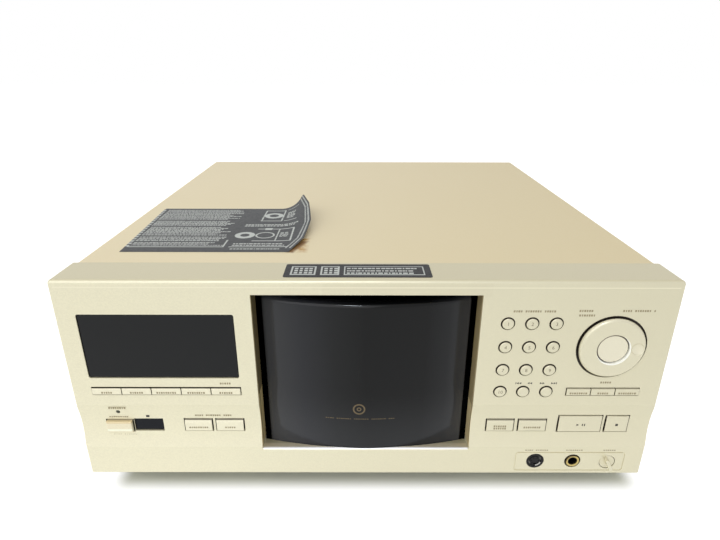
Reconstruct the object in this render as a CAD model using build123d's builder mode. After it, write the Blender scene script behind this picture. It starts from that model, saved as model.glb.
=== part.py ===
"""A file-type disc changer: a ring of upright disc slots that turns about a standing player mechanism.

The frame has +Z up and the face looking along -Y. The origin is under the middle of the whole object, on
the surface that the feet stand on. All sizes are in millimetres.
"""

from build123d import *
from dataclasses import dataclass
from math import acos, cos, pi, radians, sin, sqrt, tan
import os

os.makedirs("parts", exist_ok=True)

# Overall sizes
WIDTH = 420.0
PANEL_HEIGHT = 161.0
FOOT_HEIGHT = 14.0
DEPTH = 422.0
KNOB_REACH = 4.6
JACK_REACH = 9.0

# Places that follow from the overall sizes
FRONT = KNOB_REACH - (DEPTH + KNOB_REACH + JACK_REACH) / 2
BACK = FRONT + DEPTH
BASE = FOOT_HEIGHT
TOP = BASE + PANEL_HEIGHT
RACK_Y = FRONT + 206.0

# Face panel
SHELF_DEPTH = 32.0
SHELL_WALL = 2.8
UPPER_WALL = 3.0
LOWER_WALL = 5.5
LOWER_ZONE = 66.0
END_RADIUS = 1.0
TOP_RADIUS = 2.5
OPENING_HALF = 77.5
OPENING_LOW = 24.0
OPENING_HIGH = 150.5
REVEAL_DEPTH = 15.7
REVEAL_WALL = 2.0
SILL_RADIUS = 2.0
SILL_FALL = 15.0
SCOOP_LOW = 25.0
SCOOP_HIGH = 63.0
SCOOP_DEPTH = 2.5
PANE_GAP = 0.3
PANE_SETBACK = 0.8
PANE_THICK = 1.4

# Keys
KEY_GAP = 0.85
ROW_GAP = 0.25
FLANGE_GAP = 0.3
FLANGE_THICK = 1.2
FLANGE_LIP = 0.9
STEM_END = 9.0
STEM_RADIUS = 1.5
SWITCH_FACE = 10.1
BOARD_FACE = 13.8
BOARD_THICK = 1.6

# Dial and knob
DIAL_X = 169.1
DIAL_Z = 111.2
DIAL_RADIUS = 22.7
DIAL_GAP = 1.6
DIAL_PROUD = 3.0
DIAL_WELL = 2.0
DISH_RADIUS = 11.2
LEVEL_X = 183.8
LEVEL_Z = 11.2
LEVEL_RADIUS = 5.6
LEVEL_GAP = 0.45
SPINDLE_RADIUS = 3.0
TURNING_GAP = 0.06

# Sockets in the face
PHONES_X = 157.3
KEYBOARD_X = 128.9
SOCKET_Z = 12.2
PHONES_BORE = 3.25
PHONES_LENGTH = 30.0
PHONES_NOSE = 5.1
PHONES_GAP = 1.0
KEYBOARD_NOSE = 6.4

# Door and rack, as radii about the rack's axis
DOOR_OUTER = 204.7
DOOR_INNER = 202.2
DOOR_LOW = 33.6
DOOR_CLEARANCE = 0.4
DOOR_LEDGE = 33.0
DOOR_HIGH = 157.0
DOOR_HALF_ANGLE = 20.9
SKIRT_OUTER = 202.4
SKIRT_INNER = 200.1
ARC_LOW = 28.0
ARC_HIGH = 31.0
FLOOR_LOW = 34.0
FLOOR_HIGH = 36.5
COMB_HIGH = 62.0
RACK_OUTER = 194.0
RACK_WALL = 2.5
FIN_TIP = 84.0
DISC_SLOTS = 300
LOADER_SLOT = 6.0

# Gears: module and teeth
RING_MODULE = 1.5
RING_TEETH = 104
RACK_PINION_TEETH = 16
DOOR_MODULE = 1.0
DOOR_ARC_TEETH = 374
DOOR_PINION_TEETH = 18
DOOR_PINION_ANGLE = -64.0
SLED_MODULE = 0.8
SLED_GEAR_TEETH = 20
PRESSURE_ANGLE = radians(20)
BACKLASH = 0.12

# Player mechanism
SPINDLE_Z = 97.0
PLATE_X = -12.0
PLATE_THICK = 2.0
MECH_FLOOR = 26.0
SLED_TRAVEL = 32.0
ARM_PIVOT = (14.0, 150.0)
LEVER_PIVOT_Z = 20.0
LEVER_LENGTH = 56.0
LEVER_REST = 55.0

# Casing
COVER_HALF = 206.5
COVER_WALL = 1.0
COVER_DROP = 0.4
SHEET = 1.2
FOOT_X = 160.0
FOOT_Y = 162.0


def keep(piece, name):
    """Label a finished piece and write its STEP file."""
    piece.part.label = name
    export_step(piece.part, f"parts/{name}.step")


def face_plane(depth):
    """Plane parallel to the face and depth behind it: its axes are X and height above the panel's bottom."""
    return Plane(origin=(0, FRONT + depth, BASE), x_dir=(1, 0, 0), z_dir=(0, -1, 0))


def rack_plane(height):
    """Level plane at a height, with its origin on the rack's axis."""
    return Plane((0, RACK_Y, height))


def side_plane(x):
    """Plane square to X, with its origin on the rack's axis at floor level: its axes are Y and Z."""
    return Plane(origin=(x, RACK_Y, 0), x_dir=(0, 1, 0), z_dir=(1, 0, 0))


def polar(radius, angle):
    """Point at a radius and an angle in degrees."""
    return (radius * cos(radians(angle)), radius * sin(radians(angle)))


def sill_height(depth):
    """Height of the sill, which falls towards the inside, at a depth behind the face."""
    return BASE + OPENING_LOW - depth * tan(radians(SILL_FALL))


def ring_sector(inner, outer, start, sweep):
    """Face between two arcs about the origin."""
    with BuildSketch() as sector:
        with BuildLine():
            inside = CenterArc((0, 0), inner, start, sweep)
            outside = CenterArc((0, 0), outer, start, sweep)
            Line(inside @ 0, outside @ 0)
            Line(inside @ 1, outside @ 1)
        make_face()
    return sector.sketch


def involute(base_radius, radius):
    """Involute function at a radius, zero inside the base circle."""
    angle = acos(min(1.0, base_radius / radius))
    return tan(angle) - angle


def tooth_points(module, teeth, centre, root, tip, slack):
    """Outline of one involute tooth, root to root, centred on an angle in degrees."""
    pitch_radius = module * teeth / 2
    base_radius = pitch_radius * cos(PRESSURE_ANGLE)
    half_pitch = pi / (2 * teeth) - slack / (2 * pitch_radius) + involute(base_radius, pitch_radius)
    steps = 4
    radii = [root + (tip - root) * i / steps for i in range(steps + 1)]
    halves = [(r, half_pitch - involute(base_radius, r)) for r in radii]
    rising = [(r, radians(centre) - half) for r, half in halves]
    falling = [(r, radians(centre) + half) for r, half in reversed(halves)]
    return [(r * cos(a), r * sin(a)) for r, a in rising + falling]


def gear_face(module, teeth, phase, addendum, dedendum, slack):
    """Face of a whole gear with a tooth centred on the phase angle."""
    pitch_radius = module * teeth / 2
    points = []
    for i in range(teeth):
        centre = phase + i * 360 / teeth
        root = pitch_radius - dedendum * module
        tip = pitch_radius + addendum * module
        points += tooth_points(module, teeth, centre, root, tip, slack)
    with BuildSketch() as gear:
        with BuildLine():
            Polyline(*points, close=True)
        make_face()
    return gear.sketch


@dataclass(frozen=True)
class Key:
    """A key in the face: its hole's middle and size, its stand above the face and its style."""

    name: str
    x: float
    z: float
    width: float
    height: float
    proud: float
    setback: float = 0.0
    wall: float = UPPER_WALL
    edge: float = 0.5
    bevel: bool = False

    @property
    def front(self):
        """Depth of the key's front behind the face plane."""
        return self.setback - self.proud


ROW_Z = 74.85
ROW_HEIGHT = 6.9
MODE_LEFT = -196.0
MODE_PITCH = 21.3
MODE_COUNT = 5
TITLE_LEFT = 143.1
TITLE_PITCH = 17.4
TITLE_COUNT = 3
NUMBER_X = (95.8, 112.2, 128.7)
NUMBER_Z = (129.5, 111.3, 93.0, 74.9)
NUMBER_HOLE = 9.8


def row_keys(name, left, pitch, count):
    """Keys of a low row that shares one slot, the end keys keeping the gap at the slot's ends."""
    return [
        Key(f"{name}_{i + 1}", left + pitch * (i + 0.5), ROW_Z, pitch, ROW_HEIGHT, proud=1.0)
        for i in range(count)
    ]


def scoop_key(name, x, z, width, height, proud, edge=0.5, bevel=False):
    """Key that stands in the scooped band."""
    return Key(name, x, z, width, height, proud, SCOOP_DEPTH - 0.1, LOWER_WALL, edge, bevel)


mode_keys = row_keys("mode_key", MODE_LEFT, MODE_PITCH, MODE_COUNT)
title_keys = row_keys("title_key", TITLE_LEFT, TITLE_PITCH, TITLE_COUNT)
lone_keys = [
    scoop_key("power_key", -181.75, 43.05, 20.5, 11.3, 3.0, edge=1.3),
    scoop_key("loader_key_1", -123.75, 43.8, 21.6, 11.4, 1.1, bevel=True),
    scoop_key("loader_key_2", -100.45, 43.8, 21.6, 11.4, 1.1, bevel=True),
    scoop_key("track_key_1", 99.4, 43.85, 21.4, 11.4, 1.1, bevel=True),
    scoop_key("track_key_2", 123.2, 43.85, 21.8, 11.4, 1.1, bevel=True),
    scoop_key("play_key", 158.35, 45.35, 33.3, 15.4, 1.1),
    scoop_key("stop_key", 185.6, 45.35, 18.0, 15.4, 1.1),
]
number_keys = [
    Key(f"number_key_{3 * row + column + 1}", x, z, NUMBER_HOLE, NUMBER_HOLE, proud=1.1, edge=0.8)
    for row, z in enumerate(NUMBER_Z)
    for column, x in enumerate(NUMBER_X)
]

WINDOW = Key("display_window", -143.0, 110.75, 106.4, 50.3, proud=0)
SENSOR = Key("sensor_window", -160.5, 43.65, 21.4, 11.0, 0, SCOOP_DEPTH, LOWER_WALL)
WINDOW_CORNER = 1.5
LED_X = -181.4
LED_Z = 55.7
LED_HOLE = 1.5

# The face panel: a shell that is open behind, with holes for everything that shows
with BuildPart() as front_panel:
    with BuildSketch(Plane.XY.offset(BASE)):
        with Locations((0, FRONT + SHELF_DEPTH / 2)):
            Rectangle(WIDTH, SHELF_DEPTH)
    extrude(amount=PANEL_HEIGHT)
    fillet(front_panel.edges().filter_by(Axis.Z).group_by(Axis.Y)[0], radius=END_RADIUS)
    fillet(front_panel.faces().sort_by(Axis.Z)[-1].edges().sort_by(Axis.Y)[:-1], radius=TOP_RADIUS)
    fillet(front_panel.faces().sort_by(Axis.Z)[0].edges().sort_by(Axis.Y)[:-1], radius=SHEET)
    for wall, low, high in (
        (LOWER_WALL, -1.0, LOWER_ZONE),
        (UPPER_WALL, LOWER_ZONE, PANEL_HEIGHT - SHELL_WALL),
    ):
        with BuildSketch(face_plane(wall)):
            with Locations((0, (low + high) / 2)):
                Rectangle(WIDTH - 2 * SHELL_WALL, high - low)
        extrude(amount=-SHELF_DEPTH, mode=Mode.SUBTRACT)
    for half, start, end, wall, mode in (
        (OPENING_HALF + REVEAL_WALL, 1.0, REVEAL_DEPTH, REVEAL_WALL, Mode.ADD),
        (OPENING_HALF, -1.0, SHELF_DEPTH + 1.0, 0.0, Mode.SUBTRACT),
    ):
        with BuildSketch(Plane.YZ.offset(-half)):
            with BuildLine():
                Polyline(
                    (FRONT + start, sill_height(start) - wall),
                    (FRONT + end, sill_height(end) - wall),
                    (FRONT + end, BASE + OPENING_HIGH),
                    (FRONT + start, BASE + OPENING_HIGH),
                    close=True,
                )
            make_face()
        extrude(amount=2 * half, mode=mode)
    near_face = front_panel.edges().filter_by(Axis.X).filter_by_position(Axis.Y, FRONT - 0.01, FRONT + 0.01)
    sill_edges = near_face.filter_by_position(Axis.Z, BASE + OPENING_LOW - 0.01, BASE + OPENING_LOW + 0.01)
    fillet(sill_edges, radius=SILL_RADIUS)
    for radius, low, high in (
        (SKIRT_OUTER + DOOR_CLEARANCE, ARC_LOW - 2, DOOR_LEDGE + 1),
        (DOOR_OUTER + DOOR_CLEARANCE, DOOR_LEDGE, TOP - SHELL_WALL),
    ):
        with BuildSketch(rack_plane(low)):
            Circle(radius)
        extrude(amount=high - low, mode=Mode.SUBTRACT)
    half_chord = (SCOOP_HIGH - SCOOP_LOW) / 2
    scoop_radius = (half_chord**2 + SCOOP_DEPTH**2) / (2 * SCOOP_DEPTH)
    for start in (OPENING_HALF, -WIDTH / 2 - 1):
        with BuildSketch(Plane.YZ.offset(start)):
            with Locations((FRONT + SCOOP_DEPTH - scoop_radius, BASE + SCOOP_LOW + half_chord)):
                Circle(scoop_radius)
        extrude(amount=WIDTH / 2 + 1 - OPENING_HALF, mode=Mode.SUBTRACT)
    with BuildSketch(face_plane(-1.0)):
        for left, pitch, count in (
            (MODE_LEFT, MODE_PITCH, MODE_COUNT),
            (TITLE_LEFT, TITLE_PITCH, TITLE_COUNT),
        ):
            with Locations((left + pitch * count / 2, ROW_Z)):
                Rectangle(pitch * count + 2 * ROW_GAP, ROW_HEIGHT)
        for key in lone_keys + [SENSOR]:
            with Locations((key.x, key.z)):
                Rectangle(key.width, key.height)
        for key in number_keys:
            with Locations((key.x, key.z)):
                Circle(key.width / 2)
        with Locations((WINDOW.x, WINDOW.z)):
            RectangleRounded(WINDOW.width, WINDOW.height, WINDOW_CORNER)
        with Locations((LED_X, LED_Z)):
            Circle(LED_HOLE)
        with Locations((LEVEL_X, LEVEL_Z)):
            Circle(LEVEL_RADIUS + LEVEL_GAP)
        with Locations((PHONES_X, SOCKET_Z)):
            Circle(PHONES_NOSE + PHONES_GAP)
        with Locations((KEYBOARD_X, SOCKET_Z)):
            Circle(KEYBOARD_NOSE + PANE_GAP)
        with Locations((DIAL_X, DIAL_Z)):
            Circle(SPINDLE_RADIUS + KEY_GAP)
    extrude(amount=-SHELF_DEPTH, mode=Mode.SUBTRACT)
    with BuildSketch(face_plane(-1.0)):
        with Locations((DIAL_X, DIAL_Z)):
            Circle(DIAL_RADIUS + DIAL_GAP)
    extrude(amount=-1.0 - DIAL_WELL, mode=Mode.SUBTRACT)
    groove_width = 0.7
    groove_depth = 0.45
    groove_x, groove_z, groove_length, groove_height = (154.8, 11.75, 83.0, 17.5)
    with BuildSketch(face_plane(-1.0)):
        with Locations((groove_x, groove_z)):
            RectangleRounded(groove_length, groove_height, 2.2)
            RectangleRounded(
                groove_length - 2 * groove_width, groove_height - 2 * groove_width, 1.6, mode=Mode.SUBTRACT
            )
    extrude(amount=-1.0 - groove_depth, mode=Mode.SUBTRACT)
keep(front_panel, "front_panel")

# Panes: the display's and the remote control sensor's, each with a flange behind the wall
for pane in (WINDOW, SENSOR):
    with BuildPart() as window:
        with BuildSketch(face_plane(pane.setback + PANE_SETBACK)):
            with Locations((pane.x, pane.z)):
                RectangleRounded(pane.width - 2 * PANE_GAP, pane.height - 2 * PANE_GAP, WINDOW_CORNER - 1)
        extrude(amount=pane.setback + PANE_SETBACK - pane.wall)
        with BuildSketch(face_plane(pane.wall)):
            with Locations((pane.x, pane.z)):
                Rectangle(pane.width + 0.6, pane.height + 2 * FLANGE_LIP)
        extrude(amount=-PANE_THICK)
        chamfer(window.faces().sort_by(Axis.Y)[0].edges(), length=0.25)
    keep(window, pane.name)

# Keys: a cap in its hole, a flange that keeps it in, and a stem that reaches for its switch
for key in mode_keys + title_keys + lone_keys + number_keys:
    flange_face = key.wall + FLANGE_GAP
    is_round = key in number_keys
    in_row = key in mode_keys + title_keys
    side_gap = ROW_GAP if in_row else KEY_GAP
    with BuildPart() as cap:
        with BuildSketch(face_plane(key.front)):
            with Locations((key.x, key.z)):
                if is_round:
                    Circle(key.width / 2 - KEY_GAP)
                else:
                    Rectangle(key.width - 2 * side_gap, key.height - 2 * KEY_GAP)
        extrude(amount=key.front - flange_face)
        if key.bevel:
            top_edge = cap.faces().sort_by(Axis.Y)[0].edges().sort_by(Axis.Z)[-1]
            front_face = cap.faces().sort_by(Axis.Y)[0]
            chamfer(top_edge, length=2.6, length2=0.7, reference=front_face)
        fillet(cap.faces().sort_by(Axis.Y)[0].edges(), radius=key.edge if not key.bevel else 0.3)
        with BuildSketch(face_plane(flange_face)):
            with Locations((key.x, key.z)):
                if is_round:
                    Circle(key.width / 2 + FLANGE_LIP)
                else:
                    Rectangle(key.width - 2 * side_gap, key.height + 2 * FLANGE_LIP)
        extrude(amount=-FLANGE_THICK)
        with BuildSketch(face_plane(flange_face + FLANGE_THICK)):
            with Locations((key.x, key.z)):
                Circle(STEM_RADIUS)
        extrude(amount=flange_face + FLANGE_THICK - STEM_END)
    keep(cap, key.name)

# The dial: a crowned disc with a dished middle, a finger hollow and a spindle that enters its encoder
DISH_DEPTH = 1.3
DISH_GROOVE = 0.55
DISH_GROOVE_DEPTH = 1.2
FINGER_X = 17.0
FINGER_RADIUS = 4.6
FINGER_DEPTH = 1.2
ENCODER_END = 12.5
finger_ball = (FINGER_RADIUS**2 + FINGER_DEPTH**2) / (2 * FINGER_DEPTH)
with BuildPart() as jog_dial:
    with BuildSketch(face_plane(-DIAL_PROUD)):
        with Locations((DIAL_X, DIAL_Z)):
            Circle(DIAL_RADIUS)
    extrude(amount=-DIAL_PROUD - DIAL_WELL + KEY_GAP)
    fillet(jog_dial.faces().sort_by(Axis.Y)[0].edges(), radius=2.2)
    with BuildSketch(face_plane(-DIAL_PROUD)):
        with Locations((DIAL_X, DIAL_Z)):
            Circle(DISH_RADIUS)
    extrude(amount=-DISH_DEPTH, mode=Mode.SUBTRACT)
    with BuildSketch(face_plane(DISH_DEPTH - DIAL_PROUD)):
        with Locations((DIAL_X, DIAL_Z)):
            Circle(DISH_RADIUS)
            Circle(DISH_RADIUS - DISH_GROOVE, mode=Mode.SUBTRACT)
    extrude(amount=-DISH_GROOVE_DEPTH, mode=Mode.SUBTRACT)
    with Locations((DIAL_X + FINGER_X, FRONT - DIAL_PROUD + FINGER_DEPTH - finger_ball, BASE + DIAL_Z)):
        Sphere(finger_ball, mode=Mode.SUBTRACT)
    with BuildSketch(face_plane(DIAL_WELL - KEY_GAP)):
        with Locations((DIAL_X, DIAL_Z)):
            Circle(SPINDLE_RADIUS)
    extrude(amount=DIAL_WELL - KEY_GAP - ENCODER_END)
keep(jog_dial, "jog_dial")

# The level knob: a flush disc with a slanting fin, on a spindle that enters its pot
FIN_WIDTH = 2.6
FIN_LENGTH = 10.4
FIN_ANGLE = 117.0
with BuildPart() as level_knob:
    with BuildSketch(face_plane(0.3)):
        with Locations((LEVEL_X, LEVEL_Z)):
            Circle(LEVEL_RADIUS)
    extrude(amount=0.3 - LOWER_WALL - 1)
    with BuildSketch(face_plane(0.3)):
        with Locations((LEVEL_X, LEVEL_Z)):
            SlotOverall(FIN_LENGTH, FIN_WIDTH, rotation=FIN_ANGLE)
    extrude(amount=0.3 + KNOB_REACH)
    fillet(level_knob.faces().sort_by(Axis.Y)[0].edges(), radius=0.5)
    with BuildSketch(face_plane(LOWER_WALL + 1)):
        with Locations((LEVEL_X, LEVEL_Z)):
            Circle(SPINDLE_RADIUS)
    extrude(amount=LOWER_WALL + 1 - ENCODER_END)
keep(level_knob, "level_knob")

# Headphone socket: a plated nose with a stepped body on the socket board
SOCKET_FLOOR = 5.6
with BuildPart() as phones_jack:
    with BuildSketch(face_plane(LOWER_WALL + PHONES_LENGTH)):
        with Locations((PHONES_X, SOCKET_Z)):
            Rectangle(16.0, 2 * (SOCKET_Z - SOCKET_FLOOR))
    extrude(amount=PHONES_LENGTH)
    with BuildSketch(face_plane(LOWER_WALL)):
        with Locations((PHONES_X, SOCKET_Z)):
            Circle(PHONES_NOSE)
    extrude(amount=LOWER_WALL + 0.5)
    chamfer(phones_jack.faces().sort_by(Axis.Y)[0].edges(), length=0.4)
    with BuildSketch(face_plane(-1.0)):
        with Locations((PHONES_X, SOCKET_Z)):
            Circle(PHONES_BORE)
    extrude(amount=-1.0 - PHONES_LENGTH, mode=Mode.SUBTRACT)
keep(phones_jack, "phones_jack")

# Small round socket: a ring groove round a core with six pin holes and a key slot
with BuildPart() as keyboard_socket:
    with BuildSketch(face_plane(LOWER_WALL + 13.0)):
        with Locations((KEYBOARD_X, SOCKET_Z)):
            Rectangle(14.0, 2 * (SOCKET_Z - SOCKET_FLOOR))
    extrude(amount=13.0)
    with BuildSketch(face_plane(LOWER_WALL)):
        with Locations((KEYBOARD_X, SOCKET_Z)):
            Circle(KEYBOARD_NOSE)
    extrude(amount=LOWER_WALL)
    with BuildSketch(face_plane(-1.0)):
        with Locations((KEYBOARD_X, SOCKET_Z)):
            Circle(4.75)
            Circle(4.1, mode=Mode.SUBTRACT)
    extrude(amount=-1.0 - 6.0, mode=Mode.SUBTRACT)
    with BuildSketch(face_plane(-1.0)):
        with Locations((KEYBOARD_X, SOCKET_Z - 2.6)):
            Rectangle(2.2, 1.1)
        with Locations((KEYBOARD_X, SOCKET_Z)):
            with Locations(*[polar(2.9, angle) for angle in (10, 62, 118, 170, 222, 318)]):
                Circle(0.45)
    extrude(amount=-1.0 - 5.0, mode=Mode.SUBTRACT)
keep(keyboard_socket, "keyboard_socket")

# Boards behind the face, with the display tube, a switch behind each key, the encoder and the pot
BOARD_SPANS = ((-202, -86, 24, 154), (86, 202, 28, 146))
SWITCH_SIZE = 6.0
TUBE_FACE = 6.0
ENCODER_FACE = 7.5
ENCODER_SIZE = 12.0
POT_SIZE = 11.6
POT_BACK = 15.0
SOCKET_BOARD = (155.0, 24.0, 86.0, 33.0)
with BuildPart() as key_boards:
    for low_x, high_x, low_z, high_z in BOARD_SPANS:
        with BuildSketch(face_plane(BOARD_FACE)):
            with Locations(((low_x + high_x) / 2, (low_z + high_z) / 2)):
                Rectangle(high_x - low_x, high_z - low_z)
        extrude(amount=-BOARD_THICK)
    with BuildSketch(face_plane(SWITCH_FACE)):
        for key in mode_keys + title_keys + lone_keys + number_keys:
            with Locations((key.x, key.z)):
                Rectangle(SWITCH_SIZE, SWITCH_SIZE)
    extrude(amount=SWITCH_FACE - BOARD_FACE)
    with BuildSketch(face_plane(TUBE_FACE)):
        with Locations((WINDOW.x, WINDOW.z + 1.5)):
            Rectangle(WINDOW.width - 2, WINDOW.height - 5)
    extrude(amount=TUBE_FACE - BOARD_FACE)
    with BuildSketch(face_plane(ENCODER_FACE)):
        with Locations((DIAL_X, DIAL_Z)):
            Rectangle(ENCODER_SIZE, ENCODER_SIZE)
            Circle(SPINDLE_RADIUS + TURNING_GAP, mode=Mode.SUBTRACT)
    extrude(amount=ENCODER_FACE - BOARD_FACE)
    with BuildSketch(Plane.XY.offset(BASE + SOCKET_FLOOR - BOARD_THICK)):
        with Locations((SOCKET_BOARD[0], FRONT + SOCKET_BOARD[1])):
            Rectangle(*SOCKET_BOARD[2:])
    extrude(amount=BOARD_THICK)
    with BuildSketch(face_plane(ENCODER_FACE)):
        with Locations((LEVEL_X, SOCKET_FLOOR + POT_SIZE / 2)):
            Rectangle(POT_SIZE, POT_SIZE)
        with Locations((LEVEL_X, LEVEL_Z)):
            Circle(SPINDLE_RADIUS + TURNING_GAP, mode=Mode.SUBTRACT)
    extrude(amount=ENCODER_FACE - POT_BACK)
keep(key_boards, "key_boards")

# The door: a curved panel with a rounded top lip, a skirt below the sill and a toothed arc at its foot
LIP_DEPTH = 7.0
LIP_HEIGHT = 4.6
LIP_RADIUS = 3.6
ARC_START = -90.0 - 24.0
ARC_END = -90.0 + 30.0
door_pitch_radius = DOOR_MODULE * DOOR_ARC_TEETH / 2
door_root = door_pitch_radius + 1.25 * DOOR_MODULE
tooth_step = 360 / DOOR_ARC_TEETH
first_tooth = round((ARC_START - DOOR_PINION_ANGLE) / tooth_step) + 1
last_tooth = round((ARC_END - DOOR_PINION_ANGLE) / tooth_step) - 1
space_points = []
for tooth in range(first_tooth, last_tooth + 1):
    space_points += tooth_points(
        DOOR_MODULE,
        DOOR_ARC_TEETH,
        DOOR_PINION_ANGLE + tooth * tooth_step,
        door_pitch_radius - 0.8 * DOOR_MODULE,
        door_root,
        -BACKLASH,
    )
with BuildPart() as disc_door:
    with BuildSketch(rack_plane(DOOR_LOW)):
        add(ring_sector(DOOR_INNER, DOOR_OUTER, -90 - DOOR_HALF_ANGLE, 2 * DOOR_HALF_ANGLE))
    extrude(amount=DOOR_HIGH - DOOR_LOW)
    with BuildSketch(rack_plane(DOOR_HIGH - LIP_HEIGHT)):
        add(ring_sector(DOOR_OUTER - LIP_DEPTH, DOOR_OUTER, -90 - DOOR_HALF_ANGLE, 2 * DOOR_HALF_ANGLE))
    extrude(amount=LIP_HEIGHT)
    fillet(disc_door.faces().sort_by(Axis.Z)[-1].edges().sort_by(Axis.Y)[0], radius=LIP_RADIUS)
    with BuildSketch(rack_plane(ARC_LOW)):
        add(ring_sector(SKIRT_INNER, SKIRT_OUTER, -90 - DOOR_HALF_ANGLE, 2 * DOOR_HALF_ANGLE))
    extrude(amount=DOOR_LOW + 5 - ARC_LOW)
    with BuildSketch(rack_plane(ARC_LOW)):
        with BuildLine():
            teeth_line = Polyline(*space_points)
            outer_arc = CenterArc((0, 0), SKIRT_OUTER, ARC_START, ARC_END - ARC_START)
            Line(teeth_line @ 0, outer_arc @ 0)
            Line(teeth_line @ 1, outer_arc @ 1)
        make_face()
    extrude(amount=ARC_HIGH - ARC_LOW)
keep(disc_door, "disc_door")

# Door pinion, on its motor's axis, in mesh with the door's toothed arc
door_pinion_place = polar(door_pitch_radius - DOOR_MODULE * DOOR_PINION_TEETH / 2, DOOR_PINION_ANGLE)
MOTOR_TOP = 27.0
with BuildPart() as door_pinion:
    with BuildSketch(rack_plane(ARC_LOW - 0.5)):
        with Locations(door_pinion_place):
            add(gear_face(DOOR_MODULE, DOOR_PINION_TEETH, DOOR_PINION_ANGLE, 1.0, 1.25, BACKLASH))
    extrude(amount=ARC_HIGH - ARC_LOW + 1)
    with BuildSketch(rack_plane(ARC_LOW - 8)):
        with Locations(door_pinion_place):
            Circle(2.0)
    extrude(amount=7.5)
keep(door_pinion, "door_pinion")

# Rack: a level ring that carries the discs, with a toothed rim hanging under its inner edge
ring_pitch_radius = RING_MODULE * RING_TEETH / 2
RING_OUTER = 84.0
with BuildPart() as disc_rack:
    with BuildSketch(rack_plane(FLOOR_LOW)):
        Circle(RACK_OUTER)
        Circle(RING_OUTER - 4.0, mode=Mode.SUBTRACT)
    extrude(amount=FLOOR_HIGH - FLOOR_LOW)
    with BuildSketch(rack_plane(ARC_LOW)):
        Circle(RING_OUTER)
        add(gear_face(RING_MODULE, RING_TEETH, 180.0, 1.1, 0.8, -BACKLASH), mode=Mode.SUBTRACT)
    extrude(amount=FLOOR_LOW - ARC_LOW)
keep(disc_rack, "disc_rack")

# Comb: fins that stand on the ring and point inwards from its outer wall, with one wide slot
slot_pitch = (360 - LOADER_SLOT) / DISC_SLOTS
comb_root = RACK_OUTER - RACK_WALL
FIN_ROOT_HALF = 0.6
FIN_TIP_HALF = 0.2
comb_points = []
for fin in range(DISC_SLOTS + 1):
    fin_angle = radians(-90 + LOADER_SLOT / 2 + fin * slot_pitch)
    for radius, half in (
        (comb_root, -FIN_ROOT_HALF),
        (FIN_TIP, -FIN_TIP_HALF),
        (FIN_TIP, FIN_TIP_HALF),
        (comb_root, FIN_ROOT_HALF),
    ):
        angle = fin_angle + half / radius
        comb_points.append((radius * cos(angle), radius * sin(angle)))
with BuildPart() as rack_dividers:
    with BuildSketch(rack_plane(FLOOR_HIGH)):
        Circle(RACK_OUTER)
        with BuildLine():
            Polyline(*comb_points, close=True)
        make_face(mode=Mode.SUBTRACT)
    extrude(amount=COMB_HIGH - FLOOR_HIGH)
keep(rack_dividers, "rack_dividers")

# Rack drive gear, on its motor's axis, in mesh inside the ring's rim
rack_pinion_place = polar(ring_pitch_radius - RING_MODULE * RACK_PINION_TEETH / 2, 180.0)
with BuildPart() as rack_drive_gear:
    with BuildSketch(rack_plane(ARC_LOW - 0.5)):
        with Locations(rack_pinion_place):
            add(gear_face(RING_MODULE, RACK_PINION_TEETH, 180.0, 1.0, 1.25, BACKLASH))
    extrude(amount=6.0)
    with BuildSketch(rack_plane(ARC_LOW - 8)):
        with Locations(rack_pinion_place):
            Circle(2.0)
    extrude(amount=7.5)
keep(rack_drive_gear, "rack_drive_gear")

# Two geared motors, alike, standing on the base
MOTOR_RADIUS = 15.0
with BuildPart() as drive_motors:
    with BuildSketch(rack_plane(BASE + SHEET)):
        with Locations(door_pinion_place, rack_pinion_place):
            Circle(MOTOR_RADIUS)
    extrude(amount=MOTOR_TOP - BASE - SHEET)
    with BuildSketch(rack_plane(MOTOR_TOP)):
        with Locations(door_pinion_place, rack_pinion_place):
            Circle(2.0 + TURNING_GAP)
    extrude(amount=-8.0, mode=Mode.SUBTRACT)
keep(drive_motors, "drive_motors")

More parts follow.
